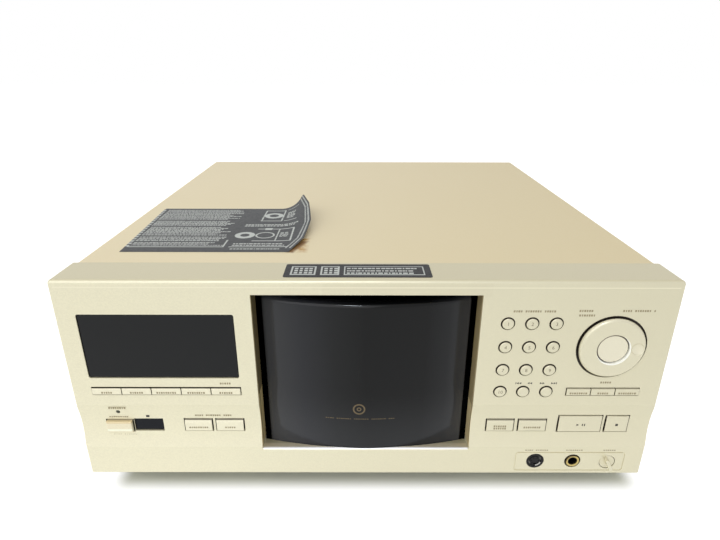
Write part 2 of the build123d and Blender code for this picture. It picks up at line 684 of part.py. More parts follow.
# Base: a folded steel tray with posts that carry and centre the rack and the door's arc
BASE_HALF = 205.0
TRAY_FRONT = FRONT + 6.0
TRAY_BACK = BACK - 2 * SHEET
SIDE_FLANGE = 13.0
FRONT_FLANGE = 4.2
RACK_POST_RADIUS = 150.0
SCREW_HOLE = 1.7
SIDE_SCREW_Y = (-120.0, 150.0)
SIDE_SCREW_Z = BASE + 8.0
REAR_SCREW_X = (-190.0, 0.0, 190.0)
with BuildPart() as chassis_base:
    with BuildSketch(Plane.XY.offset(BASE)):
        with Locations((0, (TRAY_FRONT + TRAY_BACK) / 2)):
            Rectangle(2 * BASE_HALF, TRAY_BACK - TRAY_FRONT)
    extrude(amount=SIDE_FLANGE)
    with BuildSketch(Plane.XY.offset(BASE + SHEET)):
        with Locations((0, (TRAY_FRONT + TRAY_BACK) / 2)):
            Rectangle(2 * (BASE_HALF - SHEET), TRAY_BACK - TRAY_FRONT - 2 * SHEET)
    extrude(amount=SIDE_FLANGE, mode=Mode.SUBTRACT)
    with BuildSketch(Plane.XY.offset(BASE + FRONT_FLANGE)):
        with Locations((0, TRAY_FRONT)):
            Rectangle(2 * BASE_HALF + 2, 4 * SHEET)
    extrude(amount=SIDE_FLANGE, mode=Mode.SUBTRACT)
    with BuildSketch(rack_plane(BASE + SHEET)):
        with PolarLocations(RACK_POST_RADIUS, 6):
            Circle(6.0)
    extrude(amount=FLOOR_LOW - 0.3 - BASE - SHEET)
    with BuildSketch(rack_plane(BASE + SHEET)):
        with Locations(*[polar(194.0, angle) for angle in (-112, -90, -46, -22)]):
            Circle(3.0)
    extrude(amount=ARC_LOW - 0.3 - BASE - SHEET)
    with BuildSketch(rack_plane(BASE + SHEET)):
        with PolarLocations(RING_OUTER + 4.3, 3, start_angle=30):
            Circle(4.0)
    extrude(amount=FLOOR_LOW - 1.0 - BASE - SHEET)
    with BuildSketch(Plane.YZ.offset(-BASE_HALF - 1)):
        with Locations(*[(y, SIDE_SCREW_Z) for y in SIDE_SCREW_Y]):
            Circle(SCREW_HOLE)
    extrude(amount=2 * BASE_HALF + 2, mode=Mode.SUBTRACT)
    with BuildSketch(Plane.XZ.offset(-TRAY_BACK - 1)):
        with Locations(*[(x, SIDE_SCREW_Z) for x in REAR_SCREW_X]):
            Circle(SCREW_HOLE)
    extrude(amount=4 * SHEET, mode=Mode.SUBTRACT)
keep(chassis_base, "chassis_base")

# Feet: four tapered cups
with BuildPart() as feet:
    with BuildSketch(Plane.XY):
        with Locations(*[(x, y) for x in (-FOOT_X, FOOT_X) for y in (-FOOT_Y, FOOT_Y)]):
            Circle(17.0)
    extrude(amount=FOOT_HEIGHT, taper=-8)
    fillet(feet.faces().group_by(Axis.Z)[0].edges(), radius=1.2)
keep(feet, "feet")

# Cover: a folded steel hood over the top and both sides
cover_top = TOP - COVER_DROP
with BuildPart() as top_cover:
    with BuildSketch(Plane.XZ.offset(-FRONT - SHELF_DEPTH - 0.2)):
        with Locations((0, (BASE + SHEET + cover_top) / 2)):
            Rectangle(2 * COVER_HALF, cover_top - BASE - SHEET)
    extrude(amount=-(DEPTH - SHELF_DEPTH - 0.2))
    fillet(top_cover.edges().filter_by(Axis.Y).group_by(Axis.Z)[-1], radius=2.0)
    with BuildSketch(Plane.XZ.offset(-FRONT)):
        with Locations((0, (cover_top - COVER_WALL) / 2)):
            Rectangle(2 * (COVER_HALF - COVER_WALL), cover_top - COVER_WALL)
    extrude(amount=-DEPTH - 1, mode=Mode.SUBTRACT)
    with BuildSketch(Plane.YZ.offset(-COVER_HALF - 1)):
        with Locations(*[(y, SIDE_SCREW_Z) for y in SIDE_SCREW_Y]):
            Circle(SCREW_HOLE)
    extrude(amount=2 * COVER_HALF + 2, mode=Mode.SUBTRACT)
keep(top_cover, "top_cover")

# Rear panel, with holes for the sockets and the cord's gland
REAR_FACE = BACK - SHEET
PHONO_X = (-96.0, -76.0)
PHONO_Z = BASE + 62.0
CONTROL_X = (-40.0, -22.0)
OPTICAL_X = 6.0
GLAND_X = 150.0
GLAND_Z = BASE + 46.0
GLAND_RADIUS = 7.0
TOP_SCREW_Z = BASE + 152.0
with BuildPart() as rear_panel:
    with BuildSketch(Plane.XZ.offset(-REAR_FACE)):
        with Locations((0, (BASE + SHEET + cover_top - COVER_WALL) / 2)):
            Rectangle(2 * BASE_HALF, cover_top - COVER_WALL - BASE - SHEET - 0.3)
        with Locations(*[(x, PHONO_Z) for x in PHONO_X]):
            Circle(5.6, mode=Mode.SUBTRACT)
        with Locations(*[(x, PHONO_Z) for x in CONTROL_X]):
            Circle(4.1, mode=Mode.SUBTRACT)
        with Locations((OPTICAL_X, PHONO_Z)):
            Rectangle(10.4, 10.4, mode=Mode.SUBTRACT)
        with Locations((GLAND_X, GLAND_Z)):
            Circle(GLAND_RADIUS, mode=Mode.SUBTRACT)
        with Locations(*[(x, z) for x in REAR_SCREW_X for z in (SIDE_SCREW_Z, TOP_SCREW_Z)]):
            Circle(SCREW_HOLE, mode=Mode.SUBTRACT)
    extrude(amount=SHEET)
keep(rear_panel, "rear_panel")

# Screws: pan heads over the cover's sides and the rear panel
with BuildPart() as screws:
    with BuildSketch(Plane.YZ.offset(COVER_HALF)):
        with Locations(*[(y, SIDE_SCREW_Z) for y in SIDE_SCREW_Y]):
            Circle(4.0)
    extrude(amount=2.0)
    with BuildSketch(Plane.YZ.offset(COVER_HALF)):
        with Locations(*[(y, SIDE_SCREW_Z) for y in SIDE_SCREW_Y]):
            Circle(1.5)
    extrude(amount=-5.0)
    mirror(about=Plane.YZ)
    with BuildSketch(Plane.XZ.offset(-REAR_FACE)):
        with Locations(*[(x, z) for x in REAR_SCREW_X for z in (SIDE_SCREW_Z, TOP_SCREW_Z)]):
            Circle(3.6)
    extrude(amount=-1.8)
    with BuildSketch(Plane.XZ.offset(-REAR_FACE)):
        with Locations(*[(x, z) for x in REAR_SCREW_X for z in (SIDE_SCREW_Z, TOP_SCREW_Z)]):
            Circle(1.5)
    extrude(amount=5.0)
keep(screws, "screws")

# Main board, standing in front of the rear panel, with its larger components
MAIN_BOARD_Y = BACK - 15.5
MAIN_BOARD = (-40.0, 92.0, 200.0, 96.0)
PART_HEIGHT = 3.0
LARGE_CHIP = (-110.0, 112.0)
SMALL_CHIPS = ((-60.0, 112.0), (-20.0, 112.0))
CAPACITORS = ((30.0, 60.0), (30.0, 78.0), (46.0, 60.0))
INNER_REAR = REAR_FACE - SHEET
with BuildPart() as main_board:
    with BuildSketch(Plane.XZ.offset(-MAIN_BOARD_Y)):
        with Locations(MAIN_BOARD[:2]):
            Rectangle(*MAIN_BOARD[2:])
    extrude(amount=-BOARD_THICK)
    with BuildSketch(Plane.XZ.offset(-MAIN_BOARD_Y - BOARD_THICK)):
        with Locations(LARGE_CHIP):
            Rectangle(22.0, 22.0)
        with Locations(*SMALL_CHIPS):
            Rectangle(18.0, 11.0)
        with Locations(*CAPACITORS):
            Circle(5.0)
    extrude(amount=-PART_HEIGHT)
keep(main_board, "main_board")

# Rear sockets on the main board: two phono barrels, two small jacks and an optical outlet
with BuildPart() as rear_jacks:
    with BuildSketch(Plane.XZ.offset(-MAIN_BOARD_Y - BOARD_THICK)):
        with Locations((sum(PHONO_X) / 2, PHONO_Z)):
            Rectangle(38.0, 18.0)
        with Locations((sum(CONTROL_X) / 2, PHONO_Z)):
            Rectangle(30.0, 12.0)
        with Locations((OPTICAL_X, PHONO_Z)):
            Rectangle(14.0, 14.0)
    extrude(amount=MAIN_BOARD_Y + BOARD_THICK - INNER_REAR)
    with BuildSketch(Plane.XZ.offset(-INNER_REAR)):
        with Locations(*[(x, PHONO_Z) for x in PHONO_X]):
            Circle(4.15)
    extrude(amount=INNER_REAR - BACK - JACK_REACH)
    with BuildSketch(Plane.XZ.offset(-INNER_REAR)):
        with Locations(*[(x, PHONO_Z) for x in CONTROL_X]):
            Circle(3.8)
        with Locations((OPTICAL_X, PHONO_Z)):
            Rectangle(9.8, 9.8)
    extrude(amount=INNER_REAR - BACK - 0.5)
    with BuildSketch(Plane.XZ.offset(-BACK - JACK_REACH - 1)):
        with Locations(*[(x, PHONO_Z) for x in PHONO_X]):
            Circle(1.65)
        with Locations(*[(x, PHONO_Z) for x in CONTROL_X]):
            Circle(1.8)
    extrude(amount=JACK_REACH + 12.0, mode=Mode.SUBTRACT)
keep(rear_jacks, "rear_jacks")

# Gland for the mains cord: a bush with a flange outside and a collar inside
with BuildPart() as cord_gland:
    with BuildSketch(Plane.XZ.offset(-REAR_FACE)):
        with Locations((GLAND_X, GLAND_Z)):
            Circle(GLAND_RADIUS + 2.5)
    extrude(amount=-3.0)
    with BuildSketch(Plane.XZ.offset(-REAR_FACE)):
        with Locations((GLAND_X, GLAND_Z)):
            Circle(GLAND_RADIUS - 0.1)
    extrude(amount=7.0)
    with BuildSketch(Plane.XZ.offset(-REAR_FACE - 4)):
        with Locations((GLAND_X, GLAND_Z)):
            Circle(3.6)
    extrude(amount=14.0, mode=Mode.SUBTRACT)
keep(cord_gland, "cord_gland")

# Transformer: laminated core with a winding on its middle limb
TRANSFORMER = (-173.0, 172.0)
with BuildPart() as transformer:
    with BuildSketch(Plane.XY.offset(BASE + SHEET)):
        with Locations(TRANSFORMER):
            Rectangle(52.0, 22.0)
    extrude(amount=46.0)
    with BuildSketch(Plane.XY.offset(BASE + SHEET + 8)):
        with Locations(TRANSFORMER):
            RectangleRounded(34.0, 44.0, 4.0)
    extrude(amount=30.0)
keep(transformer, "transformer")

# Player mechanism: a floor on four posts and an upright plate with an arched bridge over the disc
plate_front = PLATE_X + PLATE_THICK
BRIDGE_Z = 160.0
PLATE_WAIST = 58.0
ROD_Z = (SPINDLE_Z - 16.0, SPINDLE_Z + 16.0)
ROD_X = -19.0
ROD_RADIUS = 1.5
ROD_START = 10.0
ROD_END = 75.0
AXLE_RADIUS = 2.0
sled_pitch_z = SPINDLE_Z - 24.0
sled_gear_z = sled_pitch_z - SLED_MODULE * SLED_GEAR_TEETH / 2
SLED_GEAR_Y = 36.0
LUG = 3.0
with BuildPart() as mech_chassis:
    with BuildSketch(rack_plane(MECH_FLOOR)):
        Rectangle(76.0, 92.0)
        with Locations((5.1, 0)):
            Rectangle(5.2, 40.0, mode=Mode.SUBTRACT)
    extrude(amount=2.0)
    with BuildSketch(rack_plane(BASE + SHEET)):
        with Locations(*[(x, y) for x in (-32, 32) for y in (-40, 40)]):
            Circle(4.0)
    extrude(amount=MECH_FLOOR - BASE - SHEET)
    with BuildSketch(side_plane(PLATE_X)):
        with Locations((16.0, (PLATE_WAIST + BRIDGE_Z + 2) / 2)):
            Rectangle(120.0, BRIDGE_Z + 2 - PLATE_WAIST)
        with Locations((-2.0, (MECH_FLOOR + PLATE_WAIST + 2) / 2)):
            Rectangle(84.0, PLATE_WAIST + 2 - MECH_FLOOR)
        with Locations((0, SPINDLE_Z)):
            Circle(3.5, mode=Mode.SUBTRACT)
        with Locations((26.0 + SLED_TRAVEL / 2, SPINDLE_Z)):
            Rectangle(SLED_TRAVEL + 14.0, 14.0, mode=Mode.SUBTRACT)
        with Locations((57.0, 146.0)):
            Rectangle(44.0, 40.0, mode=Mode.SUBTRACT)
    extrude(amount=PLATE_THICK)
    with BuildSketch(rack_plane(BRIDGE_Z)):
        with Locations(((PLATE_X + 22.0) / 2, 0)):
            Rectangle(22.0 - PLATE_X, 50.0)
    extrude(amount=2.0)
    with BuildSketch(Plane(origin=(0, RACK_Y, 0), x_dir=(1, 0, 0), z_dir=(0, -1, 0))):
        with Locations((ARM_PIVOT[0], (BRIDGE_Z + ARM_PIVOT[1] - 5) / 2)):
            Rectangle(10.0, BRIDGE_Z - ARM_PIVOT[1] + 5)
        with Locations(ARM_PIVOT):
            Circle(2.0 + TURNING_GAP, mode=Mode.SUBTRACT)
    extrude(amount=24.0, both=True)
    with BuildSketch(Plane(origin=(0, RACK_Y, 0), x_dir=(1, 0, 0), z_dir=(0, -1, 0))):
        with Locations((ARM_PIVOT[0], ARM_PIVOT[1] - 2)):
            Rectangle(12.0, 24.0 - 0.01)
    extrude(amount=20.0, both=True, mode=Mode.SUBTRACT)
    for x in (0.5, 8.5):
        with BuildSketch(side_plane(x)):
            with Locations((0, (MECH_FLOOR + 16.5) / 2)):
                Rectangle(10.0, MECH_FLOOR - 16.5)
            with Locations((0, LEVER_PIVOT_Z)):
                Circle(1.5 + TURNING_GAP, mode=Mode.SUBTRACT)
        extrude(amount=1.5)
    with BuildSketch(side_plane(ROD_X - LUG)):
        for y in (ROD_START + LUG / 2, ROD_END - LUG / 2):
            for z in ROD_Z:
                with Locations((y, z)):
                    Rectangle(LUG, 2 * LUG)
    extrude(amount=PLATE_X - ROD_X + LUG)
    with BuildSketch(Plane(origin=(0, RACK_Y, 0), x_dir=(1, 0, 0), z_dir=(0, -1, 0))):
        with Locations(*[(ROD_X, z) for z in ROD_Z]):
            Circle(ROD_RADIUS + 0.03)
    extrude(amount=-ROD_END - 1, mode=Mode.SUBTRACT)
    with BuildSketch(side_plane(PLATE_X)):
        with Locations((SLED_GEAR_Y, sled_gear_z)):
            Circle(AXLE_RADIUS)
    extrude(amount=-10.0)
keep(mech_chassis, "mech_chassis")

# Guide rods of the pickup
with BuildPart() as guide_rods:
    with BuildSketch(Plane(origin=(0, RACK_Y + ROD_START, 0), x_dir=(1, 0, 0), z_dir=(0, -1, 0))):
        with Locations(*[(ROD_X, z) for z in ROD_Z]):
            Circle(ROD_RADIUS)
    extrude(amount=ROD_START - ROD_END)
keep(guide_rods, "guide_rods")

# Spindle motor behind the plate, and the turntable whose shaft it holds
with BuildPart() as spindle_motor:
    with BuildSketch(side_plane(PLATE_X)):
        with Locations((0, SPINDLE_Z)):
            Circle(12.0)
            Circle(1.2 + TURNING_GAP, mode=Mode.SUBTRACT)
    extrude(amount=-18.0)
keep(spindle_motor, "spindle_motor")

HUB_RADIUS = 7.4
with BuildPart() as turntable:
    with BuildSketch(side_plane(-9.3)):
        with Locations((0, SPINDLE_Z)):
            Circle(5.0)
    extrude(amount=7.0)
    with BuildSketch(side_plane(-3.0)):
        with Locations((0, SPINDLE_Z)):
            Circle(15.0)
    extrude(amount=2.2)
    with BuildSketch(side_plane(-0.8)):
        with Locations((0, SPINDLE_Z)):
            Circle(HUB_RADIUS)
    extrude(amount=2.4)
    chamfer(turntable.faces().sort_by(Axis.X)[-1].edges(), length=1.2)
    with BuildSketch(side_plane(-9.3)):
        with Locations((0, SPINDLE_Z)):
            Circle(1.2)
    extrude(amount=-18.0)
keep(turntable, "turntable")

# Pickup sled: a block on the rods, its lens barrel, and a toothed strip below
strip_base = sled_pitch_z + 1.0 * SLED_MODULE
STRIP_START = 3.0
STRIP_END = 41.0
STRIP_TOP = 77.0
rack_pitch = pi * SLED_MODULE
rack_teeth = []
first = round((STRIP_START - SLED_GEAR_Y) / rack_pitch) + 1
last = round((STRIP_END - SLED_GEAR_Y) / rack_pitch) - 1
half_at_pitch = rack_pitch / 4 - BACKLASH / 2
for i in range(first, last + 1):
    middle = SLED_GEAR_Y + (i + 0.5) * rack_pitch
    root_half = half_at_pitch + SLED_MODULE * tan(PRESSURE_ANGLE)
    tip_half = half_at_pitch - 0.8 * SLED_MODULE * tan(PRESSURE_ANGLE)
    rack_teeth += [
        (middle - root_half, strip_base),
        (middle - tip_half, sled_pitch_z - 0.8 * SLED_MODULE),
        (middle + tip_half, sled_pitch_z - 0.8 * SLED_MODULE),
        (middle + root_half, strip_base),
    ]
with BuildPart() as pickup_sled:
    with BuildSketch(side_plane(-24.0)):
        with Locations((26.0, SPINDLE_Z)):
            Rectangle(20.0, 42.0)
    extrude(amount=10.0)
    with BuildSketch(Plane(origin=(0, RACK_Y, 0), x_dir=(1, 0, 0), z_dir=(0, -1, 0))):
        with Locations(*[(ROD_X, z) for z in ROD_Z]):
            Circle(ROD_RADIUS + TURNING_GAP)
    extrude(amount=-ROD_END, mode=Mode.SUBTRACT)
    with BuildSketch(side_plane(-14.0)):
        with Locations((26.0, SPINDLE_Z)):
            Circle(5.0)
    extrude(amount=10.0)
    fillet(pickup_sled.faces().sort_by(Axis.X)[-1].edges(), radius=0.8)
    with BuildSketch(side_plane(-20.0)):
        with BuildLine():
            Polyline((STRIP_START, strip_base), *rack_teeth, (STRIP_END, strip_base))
            Polyline(
                (STRIP_END, strip_base),
                (STRIP_END, STRIP_TOP),
                (STRIP_START, STRIP_TOP),
                (STRIP_START, strip_base),
            )
        make_face()
    extrude(amount=4.0)
keep(pickup_sled, "pickup_sled")

# Sled gear on its axle, in mesh with the sled's strip
with BuildPart() as sled_gear:
    with BuildSketch(side_plane(-20.5)):
        with Locations((SLED_GEAR_Y, sled_gear_z)):
            add(gear_face(SLED_MODULE, SLED_GEAR_TEETH, 90.0, 1.0, 1.25, BACKLASH))
            Circle(AXLE_RADIUS + TURNING_GAP, mode=Mode.SUBTRACT)
    extrude(amount=5.0)
keep(sled_gear, "sled_gear")

# Clamp arm, hanging from its pin, and the clamper that turns in it
ARM_X = 8.5
ARM_THICK = 2.0
with BuildPart() as clamp_arm:
    with BuildSketch(Plane(origin=(0, RACK_Y, 0), x_dir=(1, 0, 0), z_dir=(0, -1, 0))):
        with Locations(ARM_PIVOT):
            Circle(4.0)
    extrude(amount=19.5, both=True)
    with BuildSketch(Plane(origin=(0, RACK_Y, 0), x_dir=(1, 0, 0), z_dir=(0, -1, 0))):
        with Locations(ARM_PIVOT):
            Circle(2.0)
    extrude(amount=24.0, both=True)
    with BuildSketch(side_plane(ARM_X)):
        with Locations((0, (ARM_PIVOT[1] + SPINDLE_Z) / 2 - 4)):
            RectangleRounded(24.0, ARM_PIVOT[1] - SPINDLE_Z + 8, 4.0)
    extrude(amount=ARM_THICK)
    with BuildSketch(side_plane(ARM_X)):
        with Locations((0, ARM_PIVOT[1] - 1.0)):
            Rectangle(24.0, 4.0)
    extrude(amount=4.0)
    with BuildSketch(side_plane(ARM_X - 1)):
        with Locations((0, SPINDLE_Z)):
            Circle(3.0 + TURNING_GAP)
    extrude(amount=ARM_THICK + 2, mode=Mode.SUBTRACT)
keep(clamp_arm, "clamp_arm")

with BuildPart() as clamper:
    with BuildSketch(side_plane(3.2)):
        with Locations((0, SPINDLE_Z)):
            Circle(14.0)
    extrude(amount=4.0)
    fillet(clamper.faces().sort_by(Axis.X)[0].edges(), radius=0.8)
    with BuildSketch(side_plane(7.2)):
        with Locations((0, SPINDLE_Z)):
            Circle(3.0)
    extrude(amount=5.0)
    with BuildSketch(side_plane(12.2)):
        with Locations((0, SPINDLE_Z)):
            Circle(5.0)
    extrude(amount=1.5)
keep(clamper, "clamper")

# Loading lever: swings through the mechanism's floor and rolls the disc out on its finger
lever_tip = polar(LEVER_LENGTH, 90 - LEVER_REST)
with BuildPart() as loading_lever:
    with BuildSketch(side_plane(3.7)):
        with Locations((0, LEVER_PIVOT_Z)):
            Circle(4.0)
            with Locations((lever_tip[0] / 2, lever_tip[1] / 2)):
                SlotCenterToCenter(LEVER_LENGTH, 5.0, rotation=90 - LEVER_REST)
    extrude(amount=2.5)
    with BuildSketch(side_plane(0.7)):
        with Locations((0, LEVER_PIVOT_Z)):
            Circle(1.5)
    extrude(amount=9.0)
    with BuildSketch(side_plane(3.7)):
        with Locations((lever_tip[0], LEVER_PIVOT_Z + lever_tip[1])):
            Circle(2.0)
    extrude(amount=-6.2)
keep(loading_lever, "loading_lever")

# Labels: one flat on the shelf, one on the cover whose right edge has peeled and curls up towards the back
LABEL_THICK = 0.25
SHELF_LABEL = (-56.0, 44.0, 5.4, 29.0)
COVER_LABEL = (-188.0, -68.0, 55.0, 172.0)
CURL_REACH = 20.0
CURL_RISE = 14.5
CURL_START_RISE = 0.6
with BuildPart() as cover_labels:
    for (low_x, high_x, near, far), height in ((SHELF_LABEL, TOP), (COVER_LABEL, cover_top)):
        with BuildSketch(Plane.XY.offset(height)):
            with Locations(((low_x + high_x) / 2, FRONT + (near + far) / 2)):
                Rectangle(high_x - low_x, far - near)
        extrude(amount=LABEL_THICK)
    for depth, rise in ((COVER_LABEL[2], CURL_START_RISE), (COVER_LABEL[3], CURL_RISE)):
        reach = CURL_REACH - rise * 0.6
        bend = (reach**2 + rise**2) / (2 * rise)
        shrink = 1 - LABEL_THICK / bend
        edge = (COVER_LABEL[1], FRONT + depth, cover_top)
        with BuildSketch(Plane(origin=edge, x_dir=(1, 0, 0), z_dir=(0, -1, 0))):
            with BuildLine():
                under = TangentArc((0, 0), (reach, rise), tangent=(1, 0))
                over_end = (reach * shrink, bend + (rise - bend) * shrink)
                over = TangentArc((0, LABEL_THICK), over_end, tangent=(1, 0))
                Line(under @ 0, over @ 0)
                Line(under @ 1, over @ 1)
            make_face()
    loft(ruled=True)
keep(cover_labels, "cover_labels")
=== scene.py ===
"""Looks of a file-type disc changer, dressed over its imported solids.

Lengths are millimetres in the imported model's frame unless a name says otherwise, and they are turned to metres
where a mesh or a node takes them. The face looks along -Y, +Z is up and the feet stand at zero.
"""

import logging
import math
import random
from dataclasses import dataclass, field, replace
from enum import Enum
from typing import Callable

import bmesh
import bpy
from mathutils import Matrix, Vector

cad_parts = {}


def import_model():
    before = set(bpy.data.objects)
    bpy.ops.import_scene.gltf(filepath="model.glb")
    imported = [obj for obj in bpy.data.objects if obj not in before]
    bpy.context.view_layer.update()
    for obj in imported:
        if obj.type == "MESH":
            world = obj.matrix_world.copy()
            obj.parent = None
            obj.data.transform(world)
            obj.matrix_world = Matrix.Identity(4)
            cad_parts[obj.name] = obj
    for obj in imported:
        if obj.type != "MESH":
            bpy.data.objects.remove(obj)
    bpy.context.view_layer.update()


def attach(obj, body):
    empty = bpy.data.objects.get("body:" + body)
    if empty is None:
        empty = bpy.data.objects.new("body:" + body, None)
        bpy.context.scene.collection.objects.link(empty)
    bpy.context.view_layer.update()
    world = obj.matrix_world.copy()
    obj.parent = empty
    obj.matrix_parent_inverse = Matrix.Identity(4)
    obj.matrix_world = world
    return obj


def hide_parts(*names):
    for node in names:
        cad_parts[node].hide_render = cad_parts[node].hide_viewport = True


Tree = bpy.types.NodeTree
Socket = bpy.types.NodeSocket
Piece = bpy.types.Object
Pair = tuple[float, float]
Triple = tuple[float, float, float]
Quad = tuple[float, float, float, float]
Surface = tuple[Socket, Socket, Socket]

log = logging.getLogger("changer")

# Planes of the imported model: face and rear panel along Y, panel's bottom, face's top and cover's top along Z
MM = 0.001
FRONT = -213.2
BACK = 208.8
BASE = 14.0
TOP = 175.0
COVER_TOP = 174.6
RACK_Y = -7.2
DOOR_RADIUS = 204.7
CABINET = "cabinet"

# Inputs of a Mix node by their index, as its kinds share names: the share, two numbers, two colours. Then what
# makes it mix colours, with the output that they come out of
SHARE, LOW, HIGH, UNDER, OVER = 0, 2, 3, 6, 7
COLOURS = {"output": 2, "data_type": "RGBA"}


class Axis(Enum):
    """Way that a fastener or a mark looks out of the surface it is on."""

    FRONT = "front"
    REAR = "rear"
    LEFT = "left"
    RIGHT = "right"
    TOP = "top"


TURNS = {Axis.TOP: Matrix.Identity(4)} | {
    way: Matrix.Rotation(math.radians(turn), 4, "Z") @ Matrix.Rotation(math.radians(90), 4, "X")
    for way, turn in ((Axis.FRONT, 0), (Axis.REAR, 180), (Axis.LEFT, -90), (Axis.RIGHT, 90))
}


def linear(colour: str) -> Quad:
    """Turn an sRGB hex colour to linear red, green and blue, with an alpha of 1."""
    channels = [int(colour[i : i + 2], 16) / 255 for i in (1, 3, 5)]
    return tuple(c / 12.92 if c <= 0.04045 else ((c + 0.055) / 1.055) ** 2.4 for c in channels) + (1.0,)


def fresh_tree(owner: bpy.types.Material | bpy.types.World) -> Tree:
    """Turn on the nodes of a material or a world, and clear them."""
    owner.use_nodes = True
    owner.node_tree.nodes.clear()
    return owner.node_tree


def add_node(tree: Tree, kind: str, inputs: dict | None = None, output: int | str = 0, **settings: object) -> Socket:
    """Add a shader node with its settings, and give each named input a value or a link.

    Args:
        tree: Tree that gets the node.
        kind: Node type without the ShaderNode prefix.
        inputs: Input name or index to a value or an output socket.
        output: Name or index of the output that is wanted.
        **settings: Properties of the node.

    Returns:
        The wanted output, or None from a node that has none.
    """
    node = tree.nodes.new("ShaderNode" + kind)
    for name, value in settings.items():
        setattr(node, name, value)
    for key, value in (inputs or {}).items():
        if isinstance(value, Socket):
            tree.links.new(value, node.inputs[key])
        else:
            node.inputs[key].default_value = value
    return node.outputs[output] if node.outputs else None


def dim(tree: Tree, colour: Socket, level: Socket) -> Socket:
    """Multiply a colour by a grey level."""
    grey = add_node(tree, "CombineColor", {0: level, 1: level, 2: level})
    return add_node(tree, "Mix", {SHARE: 1.0, UNDER: colour, OVER: grey}, blend_type="MULTIPLY", **COLOURS)


@dataclass(frozen=True)
class Region:
    """A box in which a finish differs, such as the unlacquered inside of a moulding."""

    low: Triple
    high: Triple
    spares_upward: bool = False

    def mask(self, tree: Tree, place: Socket, soft: float = 0.1) -> Socket:
        """Build a mask that is 1 inside the box and 0 outside.

        Args:
            tree: Tree that gets the nodes.
            place: Object coordinates, in metres.
            soft: Width of the mask's edge.

        Returns:
            The mask.
        """
        middle = [(a + b) / 2 * MM for a, b in zip(self.low, self.high)]
        half = [(b - a) / 2 * MM for a, b in zip(self.low, self.high)]
        offset = add_node(tree, "VectorMath", {0: place, 1: middle}, operation="SUBTRACT")
        size = add_node(tree, "VectorMath", {0: offset}, operation="ABSOLUTE")
        room = add_node(tree, "VectorMath", {0: half, 1: size}, operation="SUBTRACT")
        x, y, z = add_node(tree, "SeparateXYZ", {0: room}).node.outputs
        least = add_node(tree, "Math", {0: x, 1: y}, operation="MINIMUM")
        least = add_node(tree, "Math", {0: least, 1: z}, operation="MINIMUM")
        return add_node(tree, "MapRange", {"Value": least, "From Max": soft * MM})


@dataclass(frozen=True)
class Round:
    """A ring or disc about an axis along Y, for a finish that differs inside it."""

    x: float
    z: float
    inner: float
    outer: float
    spares_upward: bool = False

    def mask(self, tree: Tree, place: Socket, soft: float = 0.1) -> Socket:
        """Build a mask that is 1 inside the ring and 0 outside.

        Args:
            tree: Tree that gets the nodes.
            place: Object coordinates, in metres.
            soft: Width of the mask's edge.

        Returns:
            The mask.
        """
        offset = add_node(tree, "VectorMath", {0: place, 1: (self.x * MM, 0.0, self.z * MM)}, operation="SUBTRACT")
        flat = add_node(tree, "VectorMath", {0: offset, 1: (1.0, 0.0, 1.0)}, operation="MULTIPLY")
        radius = add_node(tree, "VectorMath", {0: flat}, "Value", operation="LENGTH")
        middle, half = (self.outer + self.inner) / 2 * MM, (self.outer - self.inner) / 2 * MM
        away = add_node(tree, "Math", {0: radius, 1: middle}, operation="SUBTRACT")
        away = add_node(tree, "Math", {0: away}, operation="ABSOLUTE")
        limits = {"From Min": half - soft * MM, "From Max": half, "To Min": 1.0, "To Max": 0.0}
        return add_node(tree, "MapRange", {"Value": away, **limits})


